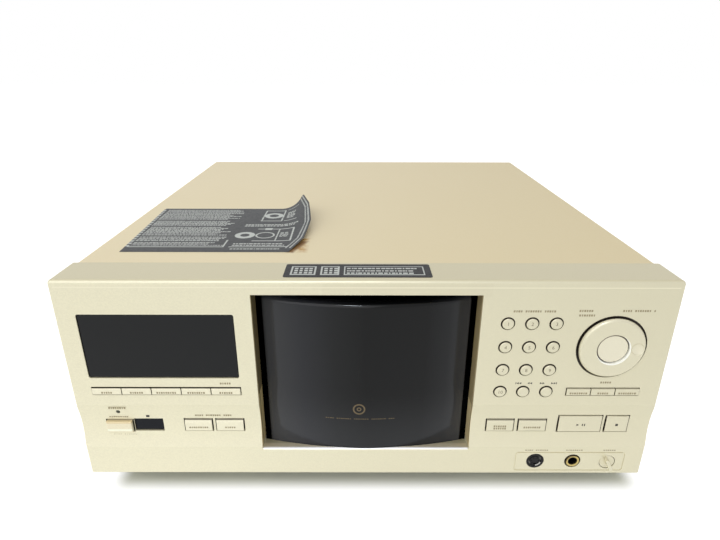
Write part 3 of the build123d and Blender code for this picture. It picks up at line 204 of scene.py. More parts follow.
@dataclass(frozen=True)
class Finish:
    """A moulded, painted or coated surface: slow clouds in its colour and a fine relief in its skin."""

    name: str
    colour: str
    shade: str
    roughness: Pair = (0.4, 0.5)
    metallic: float = 0.0
    ior: float = 1.5
    specular: float = 0.5
    coat: float = 0.0
    coat_roughness: float = 0.1
    cloud: float = 40.0
    grain: float = 0.6
    relief: float = 0.01
    stretch: Triple = (1.0, 1.0, 1.0)
    inside: tuple[Region | Round, ...] = ()
    inside_colour: str = "#101011"
    inside_roughness: float = 0.6
    tints: tuple[tuple[Region | Round, str, float], ...] = ()

    def build(self) -> bpy.types.Material:
        """Make the node material, or return it if it has been made.

        Returns:
            The finish's material.
        """
        made = bpy.data.materials.get(self.name)
        if made:
            return made
        material = bpy.data.materials.new(self.name)
        tree = fresh_tree(material)
        place = add_node(tree, "TexCoord", output="Object")
        colour, roughness, normal = self.surface(tree, place)
        for patch, tone, soft in self.tints:
            mask = patch.mask(tree, place, soft)
            colour = add_node(tree, "Mix", {SHARE: mask, UNDER: colour, OVER: linear(tone)}, **COLOURS)
        rise = add_node(tree, "SeparateXYZ", {0: add_node(tree, "NewGeometry", output="Normal")}, 2)
        turned_down = {"From Min": 0.3, "From Max": 0.5, "To Min": 1.0, "To Max": 0.0}
        level = add_node(tree, "MapRange", {"Value": rise, **turned_down})
        # Inside regions take a dark colour: the bare resin or steel, and in the gaps and holes round keys, dial and
        # jack it is also painted shade; regions that spare upward faces leave the lit faces that look up in the finish
        bare_and_shaded = linear(self.inside_colour)
        for patch in self.inside:
            mask = patch.mask(tree, place)
            if patch.spares_upward:
                mask = add_node(tree, "Math", {0: mask, 1: level}, operation="MULTIPLY")
            colour = add_node(tree, "Mix", {SHARE: mask, UNDER: colour, OVER: bare_and_shaded}, **COLOURS)
            ends = {LOW: roughness, HIGH: self.inside_roughness}
            roughness = add_node(tree, "Mix", {SHARE: mask, **ends}, data_type="FLOAT")
        linked = {"Base Color": colour, "Roughness": roughness, "Normal": normal}
        fixed = {
            "Metallic": self.metallic,
            "IOR": self.ior,
            "Specular IOR Level": self.specular,
            "Coat Weight": self.coat,
            "Coat Roughness": self.coat_roughness,
        }
        shader = add_node(tree, "BsdfPrincipled", linked | fixed)
        add_node(tree, "OutputMaterial", {"Surface": shader})
        return material

    def surface(self, tree: Tree, place: Socket) -> Surface:
        """Build the surface's colour, roughness and relief.

        Args:
            tree: Tree that gets the nodes.
            place: Object coordinates, in metres.

        Returns:
            Sockets of the colour, the roughness and the normal.
        """
        coarse, fine = 1 / (self.cloud * MM), 1 / (self.grain * MM)
        cloud = add_node(
            tree, "TexNoise", {"Vector": place, "Scale": coarse, "Detail": 3.0, "Roughness": 0.55}, "Fac"
        )
        ends = {UNDER: linear(self.colour), OVER: linear(self.shade)}
        colour = add_node(tree, "Mix", {SHARE: cloud, **ends}, **COLOURS)
        run = add_node(tree, "Mapping", {"Vector": place, "Scale": self.stretch})
        grain = add_node(tree, "TexNoise", {"Vector": run, "Scale": fine, "Detail": 2.0}, "Fac")
        limits = dict(zip(("From Min", "From Max", "To Min", "To Max"), (0.3, 0.7) + self.roughness))
        roughness = add_node(tree, "MapRange", {"Value": grain, **limits})
        normal = add_node(tree, "Bump", {"Strength": 0.6, "Distance": self.relief * MM, "Height": grain})
        return colour, roughness, normal


@dataclass(frozen=True)
class MetalFlake(Finish):
    """Metallic lacquer: bright flakes scattered in a satin coat, drawn coarser than real ones so that they show."""

    flake: float = 0.8
    sparkle: float = 0.03

    def surface(self, tree: Tree, place: Socket) -> Surface:
        """Add the flakes' brightness to the plain surface.

        Args:
            tree: Tree that gets the nodes.
            place: Object coordinates, in metres.

        Returns:
            Sockets of the colour, the roughness and the normal.
        """
        colour, roughness, normal = super().surface(tree, place)
        cells = add_node(tree, "TexVoronoi", {"Vector": place, "Scale": 1 / (self.flake * MM)}, "Color")
        level = add_node(tree, "SeparateColor", {0: cells})
        bright = add_node(tree, "MapRange", {"Value": level, "To Min": 1 - self.sparkle, "To Max": 1 + self.sparkle})
        return dim(tree, colour, bright), roughness, normal


@dataclass(frozen=True)
class ShadedLacquer(MetalFlake):
    """Metallic lacquer with painted shade: it darkens slowly across and up the face, and on the faces that look up."""

    far_side: str = "#D8D2B8"
    upward: str = "#CBC3A6"
    span: float = 210.0
    rise: Pair = (BASE + 10, BASE + 150)
    tones: Pair = (1.06, 0.95)

    def surface(self, tree: Tree, place: Socket) -> Surface:
        """Lay the painted shade over the flakes.

        Args:
            tree: Tree that gets the nodes.
            place: Object coordinates, in metres.

        Returns:
            Sockets of the colour, the roughness and the normal.
        """
        colour, roughness, normal = super().surface(tree, place)
        x, _, z = add_node(tree, "SeparateXYZ", {0: place}).node.outputs
        limits = {"From Min": -self.span * MM, "From Max": self.span * MM, "To Max": 0.8}
        across = add_node(tree, "MapRange", {"Value": x, **limits}, interpolation_type="SMOOTHSTEP")
        colour = add_node(tree, "Mix", {SHARE: across, UNDER: colour, OVER: linear(self.far_side)}, **COLOURS)
        limits = {"From Min": self.rise[0] * MM, "From Max": self.rise[1] * MM}
        ends = {"To Min": self.tones[0], "To Max": self.tones[1]}
        colour = dim(tree, colour, add_node(tree, "MapRange", {"Value": z, **limits, **ends}))
        up = add_node(tree, "SeparateXYZ", {0: add_node(tree, "NewGeometry", output="Normal")}, 2)
        level = add_node(tree, "MapRange", {"Value": up, "From Min": 0.5, "From Max": 0.95, "To Max": 0.75})
        colour = add_node(tree, "Mix", {SHARE: level, UNDER: colour, OVER: linear(self.upward)}, **COLOURS)
        return colour, roughness, normal


@dataclass(frozen=True)
class CoverEnamel(Finish):
    """Baked enamel on the steel cover, painted darker towards the right as shade, with brown glue patches by the
    lifted label's edge and a dark brown line along that edge.
    """

    # Painted shade: the enamel goes darker from the left towards the right
    far_span: Pair = (-100.0, 210.0)
    far_side: str = "#E6D6AB"
    blot_size: float = 7.0
    glue: Region = Region((-62.0, -160.0, 170.0), (-43.5, -124.0, 180.0))
    glue_colour: str = "#C29A55"
    edge: Region = Region((-61.0, -160.0, 170.0), (-53.4, -130.0, 180.0))
    edge_start: Triple = (-57.0, -158.2, 174.6)
    edge_turn: float = 19.5
    edge_colour: str = "#7E581F"

    def surface(self, tree: Tree, place: Socket) -> Surface:
        """Paint shade to the right, and stain the enamel with the glue's patches and the dark line by the label's
        edge.

        Args:
            tree: Tree that gets the nodes.
            place: Object coordinates, in metres.

        Returns:
            Sockets of the colour, the roughness and the normal.
        """
        colour, roughness, normal = super().surface(tree, place)
        x = add_node(tree, "SeparateXYZ", {0: place})
        start, end = self.far_span
        far = add_node(tree, "MapRange", {"Value": x, "From Min": start * MM, "From Max": end * MM})
        patch = add_node(
            tree, "TexNoise", {"Vector": place, "Scale": 1 / (self.blot_size * MM), "Detail": 4.0}, "Fac"
        )
        blot = add_node(tree, "MapRange", {"Value": patch, "From Min": 0.3, "From Max": 0.62})
        near = self.glue.mask(tree, place, soft=4.0)
        share = add_node(tree, "Math", {0: blot, 1: near}, operation="MULTIPLY")
        pivot = [value * MM for value in self.edge_start]
        turn = {"Vector": place, "Center": pivot, "Angle": math.radians(self.edge_turn)}
        line = self.edge.mask(tree, add_node(tree, "VectorRotate", turn, rotation_type="Z_AXIS"), soft=2.6)
        line = add_node(tree, "MapRange", {"Value": patch, "From Min": 0.2, "From Max": 0.42, "To Max": line})
        for mask, tone in ((far, self.far_side), (share, self.glue_colour), (line, self.edge_colour)):
            colour = add_node(tree, "Mix", {SHARE: mask, UNDER: colour, OVER: linear(tone)}, **COLOURS)
        return colour, roughness, normal


@dataclass(frozen=True)
class PaintedFilm(Finish):
    """Printed plastic film: the print is the piece's own colour attribute under a satin varnish."""

    ink: str = "#C9CDC8"

    def surface(self, tree: Tree, place: Socket) -> Surface:
        """Mix the ink over the film by the print attribute.

        Args:
            tree: Tree that gets the nodes.
            place: Object coordinates, in metres.

        Returns:
            Sockets of the colour, the roughness and the normal.
        """
        colour, roughness, normal = super().surface(tree, place)
        printed = add_node(tree, "Attribute", output="Fac", attribute_name="print")
        colour = add_node(tree, "Mix", {SHARE: printed, UNDER: colour, OVER: linear(self.ink)}, **COLOURS)
        return colour, roughness, normal


@dataclass(frozen=True)
class Spangle(Finish):
    """Zinc-plated sheet: large faint crystals under a fine rolled grain."""

    crystal: float = 9.0
    contrast: float = 0.05

    def surface(self, tree: Tree, place: Socket) -> Surface:
        """Vary the sheet's gloss crystal by crystal.

        Args:
            tree: Tree that gets the nodes.
            place: Object coordinates, in metres.

        Returns:
            Sockets of the colour, the roughness and the normal.
        """
        colour, roughness, normal = super().surface(tree, place)
        cells = add_node(tree, "TexVoronoi", {"Vector": place, "Scale": 1 / (self.crystal * MM)}, "Color")
        level = add_node(tree, "SeparateColor", {0: cells}, 1)
        shift = add_node(tree, "MapRange", {"Value": level, "To Min": -self.contrast, "To Max": self.contrast})
        roughness = add_node(tree, "Math", {0: roughness, 1: shift}, operation="ADD")
        return colour, roughness, normal


@dataclass(frozen=True)
class SmokedSheet(Finish):
    """Smoked acrylic bent to a curve, with painted reflections: lighter and cooler towards its ends and at its foot,
    darkest in the middle.
    """

    # Painted reflections: tones across the door, lighter at its ends and darkest in the middle; a painted floor
    # reflection is added at its foot
    tones: tuple[tuple[float, str], ...] = (
        (-74.0, "#2E3136"),
        (-70.5, "#3F4044"),
        (-60.0, "#36373B"),
        (-45.0, "#2A2B30"),
        (-22.0, "#1A1B1D"),
        (0.0, "#0B0C0D"),
        (42.0, "#0C0D0E"),
        (58.0, "#1E1F22"),
        (73.0, "#3A3B3F"),
    )
    half: float = 75.0
    rim: Pair = (72.2, 73.6)
    foot: Pair = (BASE + 25, BASE + 75)
    floor_reflection_tone: str = "#26272A"

    def surface(self, tree: Tree, place: Socket) -> Surface:
        """Paint the reflections: lighten the sheet towards its ends and its foot, and leave its outermost ends dark.

        Args:
            tree: Tree that gets the nodes.
            place: Object coordinates, in metres.

        Returns:
            Sockets of the colour, the roughness and the normal.
        """
        colour, roughness, normal = super().surface(tree, place)
        x, _, z = add_node(tree, "SeparateXYZ", {0: place}).node.outputs
        along = add_node(tree, "MapRange", {"Value": x, "From Min": -self.half * MM, "From Max": self.half * MM})
        ramp = add_node(tree, "ValToRGB", {0: along})
        stops = ramp.node.color_ramp.elements
        stops.remove(stops[-1])
        for index, (spot, tone) in enumerate(self.tones):
            share = (spot + self.half) / (2 * self.half)
            stop = stops.new(share) if index else stops[0]
            stop.position = share
            stop.color = linear(tone)
        limits = {"From Min": self.foot[0] * MM, "From Max": self.foot[1] * MM, "To Min": 1.0, "To Max": 0.0}
        foot = add_node(tree, "MapRange", {"Value": z, **limits}, interpolation_type="SMOOTHSTEP")
        glow = {SHARE: foot, UNDER: ramp, OVER: linear(self.floor_reflection_tone)}
        colour = add_node(tree, "Mix", glow, blend_type="ADD", **COLOURS)
        away = add_node(tree, "Math", {0: x}, operation="ABSOLUTE")
        rim = add_node(tree, "MapRange", {"Value": away, "From Min": self.rim[0] * MM, "From Max": self.rim[1] * MM})
        colour = add_node(tree, "Mix", {SHARE: rim, UNDER: colour, OVER: linear(self.colour)}, **COLOURS)
        return colour, roughness, normal


def on_face(across: Pair, depth: Pair, height: Pair, spares_upward: bool = False) -> Region:
    """Box a region by its X, its depth behind the face and its height above the panel's bottom."""
    low, high = zip(across, [FRONT + y for y in depth], [BASE + z for z in height])
    return Region(low, high, spares_upward)


# Where the face's paint fades out: on its inside, and just inside each hole, so that the holes' walls show the dark
# resin, which there is also painted shade in the gaps; near the front, walls that look up keep the lacquer, as they
# catch the light
FACE_INSIDE = tuple(
    on_face(across, depth, height, spared)
    for across in ((-207.3, -78.6), (78.6, 207.3))
    for height, steps in (
        ((64.0, 158.3), (((0.5, 3.4), True), ((3.4, 40.0), False))),
        ((24.0, 64.2), (((2.6, 5.9), True), ((5.9, 40.0), False))),
        ((1.5, 24.2), (((0.9, 3.4), True), ((3.4, 40.0), False))),
    )
    for depth, spared in steps
) + tuple(on_face((-79.0, 79.0), (3.05, 40.0), height) for height in ((151.0, 158.3), (-5.0, 17.0)))
# Painted light on the face: painted shade over the right of the opening's top and in a strip just above the opening;
# the opening's walls painted warm, the right wall lighter than the left, with painted shade darkening their upper
# parts and darker vertical bands; the sill painted lighter, with a white painted highlight on its front edge; and a
# thin painted highlight line just under the face's top
FACE_TINTS = tuple(
    (on_face(*box), tone, soft)
    for box, tone, soft in (
        (((10.0, 104.0), (-1.0, 3.0), (136.0, 181.0)), "#D5CFB6", 16.0),
        (((-30.0, 84.0), (-1.0, 3.0), (149.0, 160.0)), "#CFC8AE", 6.0),
        (((-77.64, -75.5), (0.8, 30.0), (24.0, 150.0)), "#E6D09A", 0.1),
        (((75.5, 77.64), (0.8, 30.0), (24.0, 150.0)), "#F4DFAE", 0.1),
        (((-77.64, -75.5), (2.6, 30.0), (70.0, 150.0)), "#8A7B58", 0.1),
        (((-77.64, -75.5), (5.4, 7.0), (24.0, 150.0)), "#6B5F45", 0.1),
        (((75.5, 77.64), (4.6, 30.0), (60.0, 150.0)), "#B9A67C", 0.1),
        (((75.5, 77.64), (3.0, 4.2), (24.0, 150.0)), "#8F7F5E", 0.1),
        (((-77.4, 77.4), (1.2, 30.0), (21.5, 26.0)), "#FBEFD0", 0.6),
        (((-77.3, 77.3), (-0.5, 2.4), (22.4, 24.5)), "#FFFFFF", 0.4),
        (((-207.3, 207.3), (-0.5, 3.0), (155.4, 156.4)), "#EEE8D1", 0.4),
    )
)
# The keys' sides and undersides show the dark resin behind their lacquered fronts, and this dark is also painted shade
# in the gaps round them; in most rows the faces that look up are spared, as they catch the light
KEY_SIDES = (
    on_face((-207.0, 143.0), (-0.65, 40.0), (64.0, 161.0)),
    on_face((140.0, 207.0), (-0.65, 40.0), (64.0, 84.0), spares_upward=True),
    on_face((-165.0, 140.0), (1.82, 40.0), (24.0, 64.2), spares_upward=True),
    on_face((140.0, 207.0), (1.55, 40.0), (24.0, 64.2), spares_upward=True),
    on_face((-207.0, -165.0), (1.7, 40.0), (24.0, 64.2), spares_upward=True),
    on_face((-207.0, 207.0), (0.5, 40.0), (0.0, 24.2)),
)
# Painted light on the dial: a white painted highlight along the dish's lower right rim, a ring of painted shade round
# the dish, thickest at the upper left, the dish itself in a pale tone, and painted shade in the finger hollow, darker
# on its upper left side
DIAL_TINTS = (
    (Round(169.8, BASE + 110.3, -11.8, 11.8), "#FFFFF8", 0.4),
    (Round(169.1, BASE + 111.2, -11.2, 11.2), "#4A3D2E", 0.15),
    (Round(169.5, BASE + 110.75, -10.4, 10.4), "#E9E3CE", 0.3),
    (Round(185.7, BASE + 111.6, 3.7, 4.7), "#CFC7AA", 0.5),
    (Round(186.3, BASE + 110.9, -4.2, 4.2), "#E6E0C9", 0.8),
)
# Champagne lacquer on moulded ABS: pearly, pale and satin, with painted shade that makes it a little darker to the
# right, towards its top and where it faces up
LACQUER = ShadedLacquer(
    "champagne_lacquer_on_abs",
    "#EDE8CF",
    "#E9E3C9",
    roughness=(0.34, 0.44),
    metallic=0.25,
    coat=0.15,
    coat_roughness=0.25,
    cloud=120.0,
    relief=0.006,
    inside=FACE_INSIDE,
    inside_colour="#2A2119",
    far_side="#DCD6BC",
    upward="#D3CAA6",
    tints=FACE_TINTS,
)
# The same lacquer on small mouldings, under more clear coat: paler and glossier than the face, with the same kind of
# painted shade
KEY_LACQUER = replace(
    LACQUER,
    name="champagne_lacquer_on_keys",
    colour="#F3EED7",
    shade="#EFE9D1",
    roughness=(0.32, 0.42),
    coat=0.2,
    coat_roughness=0.2,
    cloud=60.0,
    relief=0.005,
    inside=KEY_SIDES,
    inside_colour="#3E3226",
    far_side="#D8D2B8",
    upward="#E4DDC2",
    tints=(),
)
# The dial's lacquer: its side behind the face is painted dark as shade, and DIAL_TINTS paint light and shade on its
# face
DIAL_LACQUER = replace(
    KEY_LACQUER,
    name="champagne_lacquer_on_dial",
    colour="#EDE8CF",
    shade="#E8E2C8",
    roughness=(0.3, 0.4),
    coat=0.25,
    inside=(on_face((140.0, 207.0), (-0.75, 40.0), (80.0, 161.0)),),
    inside_colour="#2F251B",
    far_side="#DFD9C0",
    upward="#EFE9D2",
    tints=DIAL_TINTS,
)
# A warmer, creamier lacquer on the power key, with a painted highlight along its lower part and painted shade along
# its top
POWER_LACQUER = MetalFlake(
    "warm_lacquer_on_power_key",
    "#F4EBD2",
    "#F0E6CA",
    roughness=(0.34, 0.44),
    metallic=0.15,
    coat=0.2,
    coat_roughness=0.2,
    cloud=60.0,
    relief=0.005,
    inside=KEY_SIDES,
    inside_colour="#3A2C1E",
    tints=(
        (on_face((-192.5, -171.0), (-5.0, 3.0), (46.2, 49.5)), "#DFCDA4", 0.8),
        (on_face((-191.6, -172.2), (-5.0, 3.0), (39.4, 42.1)), "#FFFFEA", 0.7),
    ),
)
# Baked enamel over steel sheet: warmer and flatter than the lacquered face, with a fine orange peel
ENAMEL = CoverEnamel(
    "baked_enamel_on_steel",
    "#F3E5C0",
    "#EFE0B9",
    roughness=(0.42, 0.54),
    metallic=0.1,
    cloud=150.0,
    grain=1.4,
    relief=0.012,
    inside=(Region((-206.0, FRONT + 20, 0.0), (206.0, BACK + 5, COVER_TOP - 0.5)),),
    inside_colour="#1B1B1B",
)
# Smoked acrylic, polished: black in its depth, so that little but its gloss is seen
SMOKE = SmokedSheet(
    "smoked_acrylic_door",
    "#0B0C0D",
    "#0F1011",
    roughness=(0.1, 0.14),
    ior=1.49,
    specular=0.2,
    cloud=70.0,
    grain=3.0,
    relief=0.003,
)
PANE = Finish(
    "smoked_acrylic_window",
    "#0E1012",
    "#111315",
    roughness=(0.12, 0.17),
    ior=1.49,
    specular=0.24,
    cloud=50.0,
    grain=3.0,
    relief=0.002,
)
# Acrylic dyed blue-black, which only infrared light passes: a cold, deep gloss
DARK_PANE = Finish(
    "blue_black_moulded_acrylic", "#080B14", "#0A0E17", roughness=(0.14, 0.2), ior=1.49, specular=0.18, relief=0.001
)
# Black ABS and polystyrene, moulded against a spark-eroded tool: dull, with a fine even grain
SOCKET_ABS = Finish(
    "glossy_black_moulded_abs", "#070709", "#0A0A0C", roughness=(0.3, 0.4), specular=0.25, grain=0.5, relief=0.01
)
BLACK_ABS = Finish("black_moulded_abs", "#0D0D0E", "#121213", roughness=(0.5, 0.62), grain=0.5, relief=0.02)
RACK_STYRENE = Finish("black_moulded_styrene", "#0A0A0B", "#0E0E0F", roughness=(0.36, 0.46), grain=0.8, relief=0.01)
FOOT_ABS = Finish("grey_black_moulded_abs", "#191918", "#1F1F1E", roughness=(0.48, 0.6), grain=0.6, relief=0.02)
# Felt: matt and mottled grey, with a fuzz of fibres
PAD_FELT = Finish("felt_pad", "#3A3936", "#2C2B29", roughness=(0.9, 1.0), grain=0.7, relief=0.15, cloud=6.0)
# Acetal: milky, slightly waxy
ACETAL = Finish("natural_acetal", "#E4E1D6", "#DAD6CA", roughness=(0.36, 0.44), ior=1.48, cloud=12.0, relief=0.004)
# Gold over nickel on turned brass: a warm mirror with faint turning marks, duller on the phones jack, whose depths are
# painted dark as shade
GOLD_PLATE = Finish(
    "gold_plated_brass", "#D9B45E", "#C79F49", roughness=(0.2, 0.3), metallic=1.0, cloud=5.0, grain=0.4, relief=0.004
)
# The phones jack: its bore and all that lies deeper than the front of its nose are painted dark as shade, and a
# crescent of painted shade darkens the upper left of the nose
JACK_NOSE = replace(
    GOLD_PLATE,
    name="gold_plated_jack_with_painted_shade",
    colour="#CDB877",
    shade="#BFA968",
    roughness=(0.25, 0.35),
    metallic=0.6,
    inside=(on_face((140.0, 175.0), (0.25, 60.0), (0.0, 40.0)), Round(157.2, BASE + 12.5, -3.6, 3.6)),
    tints=((Round(157.8, BASE + 11.7, 4.95, 7.0), "#4F4226", 0.3),),
    inside_colour="#060606",
)
# Bright nickel on pressed steel: a greyish mirror, a little warm
NICKEL = replace(GOLD_PLATE, name="nickel_plated_shell", colour="#B9B7B0", shade="#A9A7A0")
# Zinc-plated steel sheet: dull silver with faint crystals and the mill's grain along its length
ZINC = Spangle(
    "zinc_plated_sheet",
    "#A9ABAD",
    "#A0A2A5",
    roughness=(0.38, 0.5),
    metallic=1.0,
    cloud=60.0,
    grain=0.8,
    relief=0.004,
    stretch=(1.0, 0.15, 1.0),
)
# Passivated zinc on the screws: straw yellow that drifts towards brown
YELLOW_ZINC = Finish(
    "yellow_passivated_zinc", "#B9A86C", "#A8956B", roughness=(0.26, 0.38), metallic=1.0, cloud=3.0, relief=0.004
)
# Black chemical coat on steel: almost matt, with a trace of the sheet's own grain
BLACK_COAT = Finish("black_coated_steel", "#0E0E0F", "#141415", roughness=(0.45, 0.55), grain=0.8, relief=0.01)
# Plated can of a motor and ground bar: clean silver, satin on the one and near a mirror on the other
MOTOR_CAN = Finish("plated_motor_can", "#9B9C9E", "#8F9092", roughness=(0.3, 0.4), metallic=1.0, cloud=20.0)
GROUND_ROD = Finish("ground_steel_rod", "#BFC0C2", "#B4B5B7", roughness=(0.12, 0.2), metallic=1.0, cloud=10.0)
# Stacked laminations under brown varnish: dark, with fine lines across the stack
CORE = Finish(
    "varnished_laminations",
    "#2A2725",
    "#3A2E22",
    roughness=(0.35, 0.5),
    grain=0.7,
    relief=0.08,
    stretch=(0.02, 0.02, 1.0),
)
# Solder resist on glass fibre: deep green, slightly wavy over the tracks
BOARD = Finish("solder_resist", "#2E4A24", "#26401E", roughness=(0.3, 0.42), cloud=9.0, grain=1.2, relief=0.02)
# Printed film: dark grey with a satin varnish, and its glued underside
FILM = PaintedFilm(
    "printed_film", "#404244", "#3A3C3E", roughness=(0.42, 0.54), specular=0.3, cloud=30.0, grain=2.0, relief=0.01
)
SHELF_FILM = replace(FILM, name="printed_film_on_shelf", colour="#2A2A2C", shade="#262628", specular=0.25)
FILM_BACK = Finish("film_with_old_glue", "#3B3A38", "#7C6138", roughness=(0.25, 0.4), cloud=9.0, relief=0.03)
# Pad printing: a thin matt ink, brown or grey on the lacquer and dull gold on the door
PAD_PRINT = Finish("brown_pad_print", "#A3977A", "#998D71", roughness=(0.45, 0.55), relief=0.002)
DIGIT_PRINT = replace(PAD_PRINT, name="grey_brown_pad_print", colour="#8A7E66", shade="#80755E")
DARK_PRINT = replace(PAD_PRINT, name="dark_pad_print", colour="#2C2A26", shade="#33302B")
GOLD_PRINT = Finish("gold_pad_print", "#6F6046", "#5F523C", roughness=(0.4, 0.5), metallic=0.3, relief=0.002)
# Tinted resin of the unlit lamp: dark olive and glassy
LAMP = Finish("unlit_lamp_resin", "#3A3A22", "#2E2E1A", roughness=(0.12, 0.2), cloud=2.0, relief=0.001)
# Moulded collars of the phono sockets: plain white and red with a half gloss
WHITE_RING = Finish("white_moulded_ring", "#D8D8D2", "#CFCFC9", roughness=(0.4, 0.5), relief=0.01)
RED_RING = Finish("red_moulded_ring", "#A3201C", "#931B18", roughness=(0.4, 0.5), relief=0.01)


def dress(finish: Finish, *nodes: str) -> None:
    """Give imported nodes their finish, in every material slot that they have."""
    for node in nodes:
        target = bpy.data.objects[node]
        if not target.material_slots:
            target.data.materials.append(finish.build())
        for place in target.material_slots:
            place.material = finish.build()


def start(name: str) -> None:
    """Deselect everything, so that the next primitive is alone, and say what is being made."""
    if bpy.context.object and bpy.context.object.mode != "OBJECT":
        bpy.ops.object.mode_set(mode="OBJECT")
    bpy.ops.object.select_all(action="DESELECT")
    log.info("making %s", name)


def take(*pieces: Piece) -> None:
    """Select these pieces alone, and make the first of them active."""
    bpy.ops.object.select_all(action="DESELECT")
    for piece in pieces:
        piece.select_set(True)
    bpy.context.view_layer.objects.active = pieces[0]


def pick_faces(piece: Piece, rule: Callable[[bmesh.types.BMFace], bool]) -> None:
    """Select the faces that a rule picks, in edit mode, and nothing else."""
    bpy.ops.mesh.select_mode(type="FACE")
    bpy.ops.mesh.select_all(action="DESELECT")
    mesh = bmesh.from_edit_mesh(piece.data)
    for face in mesh.faces:
        if rule(face):
            face.select_set(True)
    bmesh.update_edit_mesh(piece.data)


def settle(piece: Piece, place: Matrix = Matrix.Identity(4)) -> None:
    """Apply the piece's modifiers, then bring its place into its mesh so that its object is at the origin."""
    take(piece)
    for modifier in list(piece.modifiers):
        bpy.ops.object.modifier_apply(modifier=modifier.name)
    bpy.context.view_layer.update()
    piece.data.transform(place @ piece.matrix_world)
    piece.matrix_world = Matrix.Identity(4)
    piece.data.update()


def soften(piece: Piece, width: float, segments: int = 2, angle: float = 30.0) -> None:
    """Round the piece's sharp edges with a bevel modifier."""
    bevel = piece.modifiers.new("rounding", "BEVEL")
    bevel.width = width * MM
    bevel.segments = segments
    bevel.limit_method = "ANGLE"
    bevel.angle_limit = math.radians(angle)


def smooth(piece: Piece, angle: float) -> None:
    """Shade the piece smooth except across its sharp edges."""
    take(piece)
    bpy.ops.object.shade_smooth_by_angle(angle=math.radians(angle))


def hand_over(piece: Piece, name: str, finish: Finish, body: str, slot: str, *stands_for: str) -> None:
    """Name a finished piece, give it its finish and its body, and hide the nodes it stands for.

    Args:
        piece: The finished piece.
        name: Its name.
        finish: Its finish, unless it already has materials.
        body: Body that it rides on.
        slot: Material slot of the record; not used.
        *stands_for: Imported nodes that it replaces.
    """
    piece.name = name
    piece.data.name = name
    if not piece.data.materials:
        piece.data.materials.append(finish.build())
    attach(piece, body)
    if stands_for:
        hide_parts(*stands_for)
    log.info("piece %s: %d faces on %s", name, len(piece.data.polygons), body)


def copy_piece(piece: Piece, place: Matrix) -> Piece:
    """Copy a settled piece with a mesh of its own, and place the mesh.

    Args:
        piece: The model to copy.
        place: Where the copy goes, as a matrix in metres.

    Returns:
        The copy.
    """
    copy = piece.copy()
    copy.data = piece.data.copy()
    bpy.context.scene.collection.objects.link(copy)
    copy.data.transform(place)
    return copy


def at(x: float, y: float, z: float, way: Axis = Axis.TOP) -> Matrix:
    """Matrix of a place in millimetres, turned so that local +Z looks along the way."""
    return Matrix.Translation(Vector((x, y, z)) * MM) @ TURNS[way]


def join(pieces: list[Piece]) -> Piece:
    """Join pieces into the first one, and return it."""
    take(*pieces)
    bpy.ops.object.join()
    return pieces[0]


def upright_drum(vertices: int, radius: float, height: float) -> Piece:
    """Add a cylinder that stands on the origin, alone in the selection."""
    bpy.ops.object.select_all(action="DESELECT")
    middle = (0, 0, height / 2 * MM)
    bpy.ops.mesh.primitive_cylinder_add(vertices=vertices, radius=radius * MM, depth=height * MM, location=middle)
    return bpy.context.object


def tube(outer: float, inner: float, length: float) -> Piece:
    """Model an open tube along +Z from the origin, with rounded rims.

    Args:
        outer: Outer radius.
        inner: Inner radius.
        length: Length.

    Returns:
        The tube.
    """
    piece = upright_drum(48, outer, length)
    bpy.ops.object.mode_set(mode="EDIT")
    pick_faces(piece, lambda face: abs(face.normal.z) > 0.9)
    bpy.ops.mesh.inset(thickness=(outer - inner) * MM)
    bpy.ops.mesh.bridge_edge_loops()
    bpy.ops.object.mode_set(mode="OBJECT")
    soften(piece, min(0.15, (outer - inner) / 3))
    settle(piece)
    smooth(piece, 40)
    return piece


def slab(corners: list[Triple], thick: float) -> Piece:
    """Model a thin shape from an n-gon that is extruded along Y.

    Args:
        corners: Corners of the n-gon.
        thick: How far it is extruded, towards +Y where it is positive.

    Returns:
        The shape.
    """
    bpy.ops.object.select_all(action="DESELECT")
    bpy.ops.mesh.primitive_circle_add(vertices=len(corners), radius=MM, fill_type="NGON")
    piece = bpy.context.object
    for vertex, corner in zip(piece.data.vertices, corners):
        vertex.co = Vector(corner) * MM
    bpy.ops.object.mode_set(mode="EDIT")
    bpy.ops.mesh.select_all(action="SELECT")
    bpy.ops.mesh.extrude_region_move(TRANSFORM_OT_translate={"value": (0, thick * MM, 0)})
    bpy.ops.mesh.select_all(action="SELECT")
    bpy.ops.mesh.normals_make_consistent(inside=False)
    bpy.ops.object.mode_set(mode="OBJECT")
    settle(piece)
    return piece


def plain_view(tree: Tree) -> Socket:
    """Find whether a ray comes from the camera, off a gloss or through a glass."""
    ray = add_node(tree, "LightPath").node.outputs
    seen = add_node(tree, "Math", {0: ray["Is Camera Ray"], 1: ray["Is Glossy Ray"]}, operation="MAXIMUM")
    return add_node(tree, "Math", {0: seen, 1: ray["Is Transmission Ray"]}, operation="MAXIMUM")


@dataclass(frozen=True)
class Softbox:
    """A soft lamp with its place, its width and height, and its power in watts."""

    name: str
    place: Triple
    size: Pair
    power: float


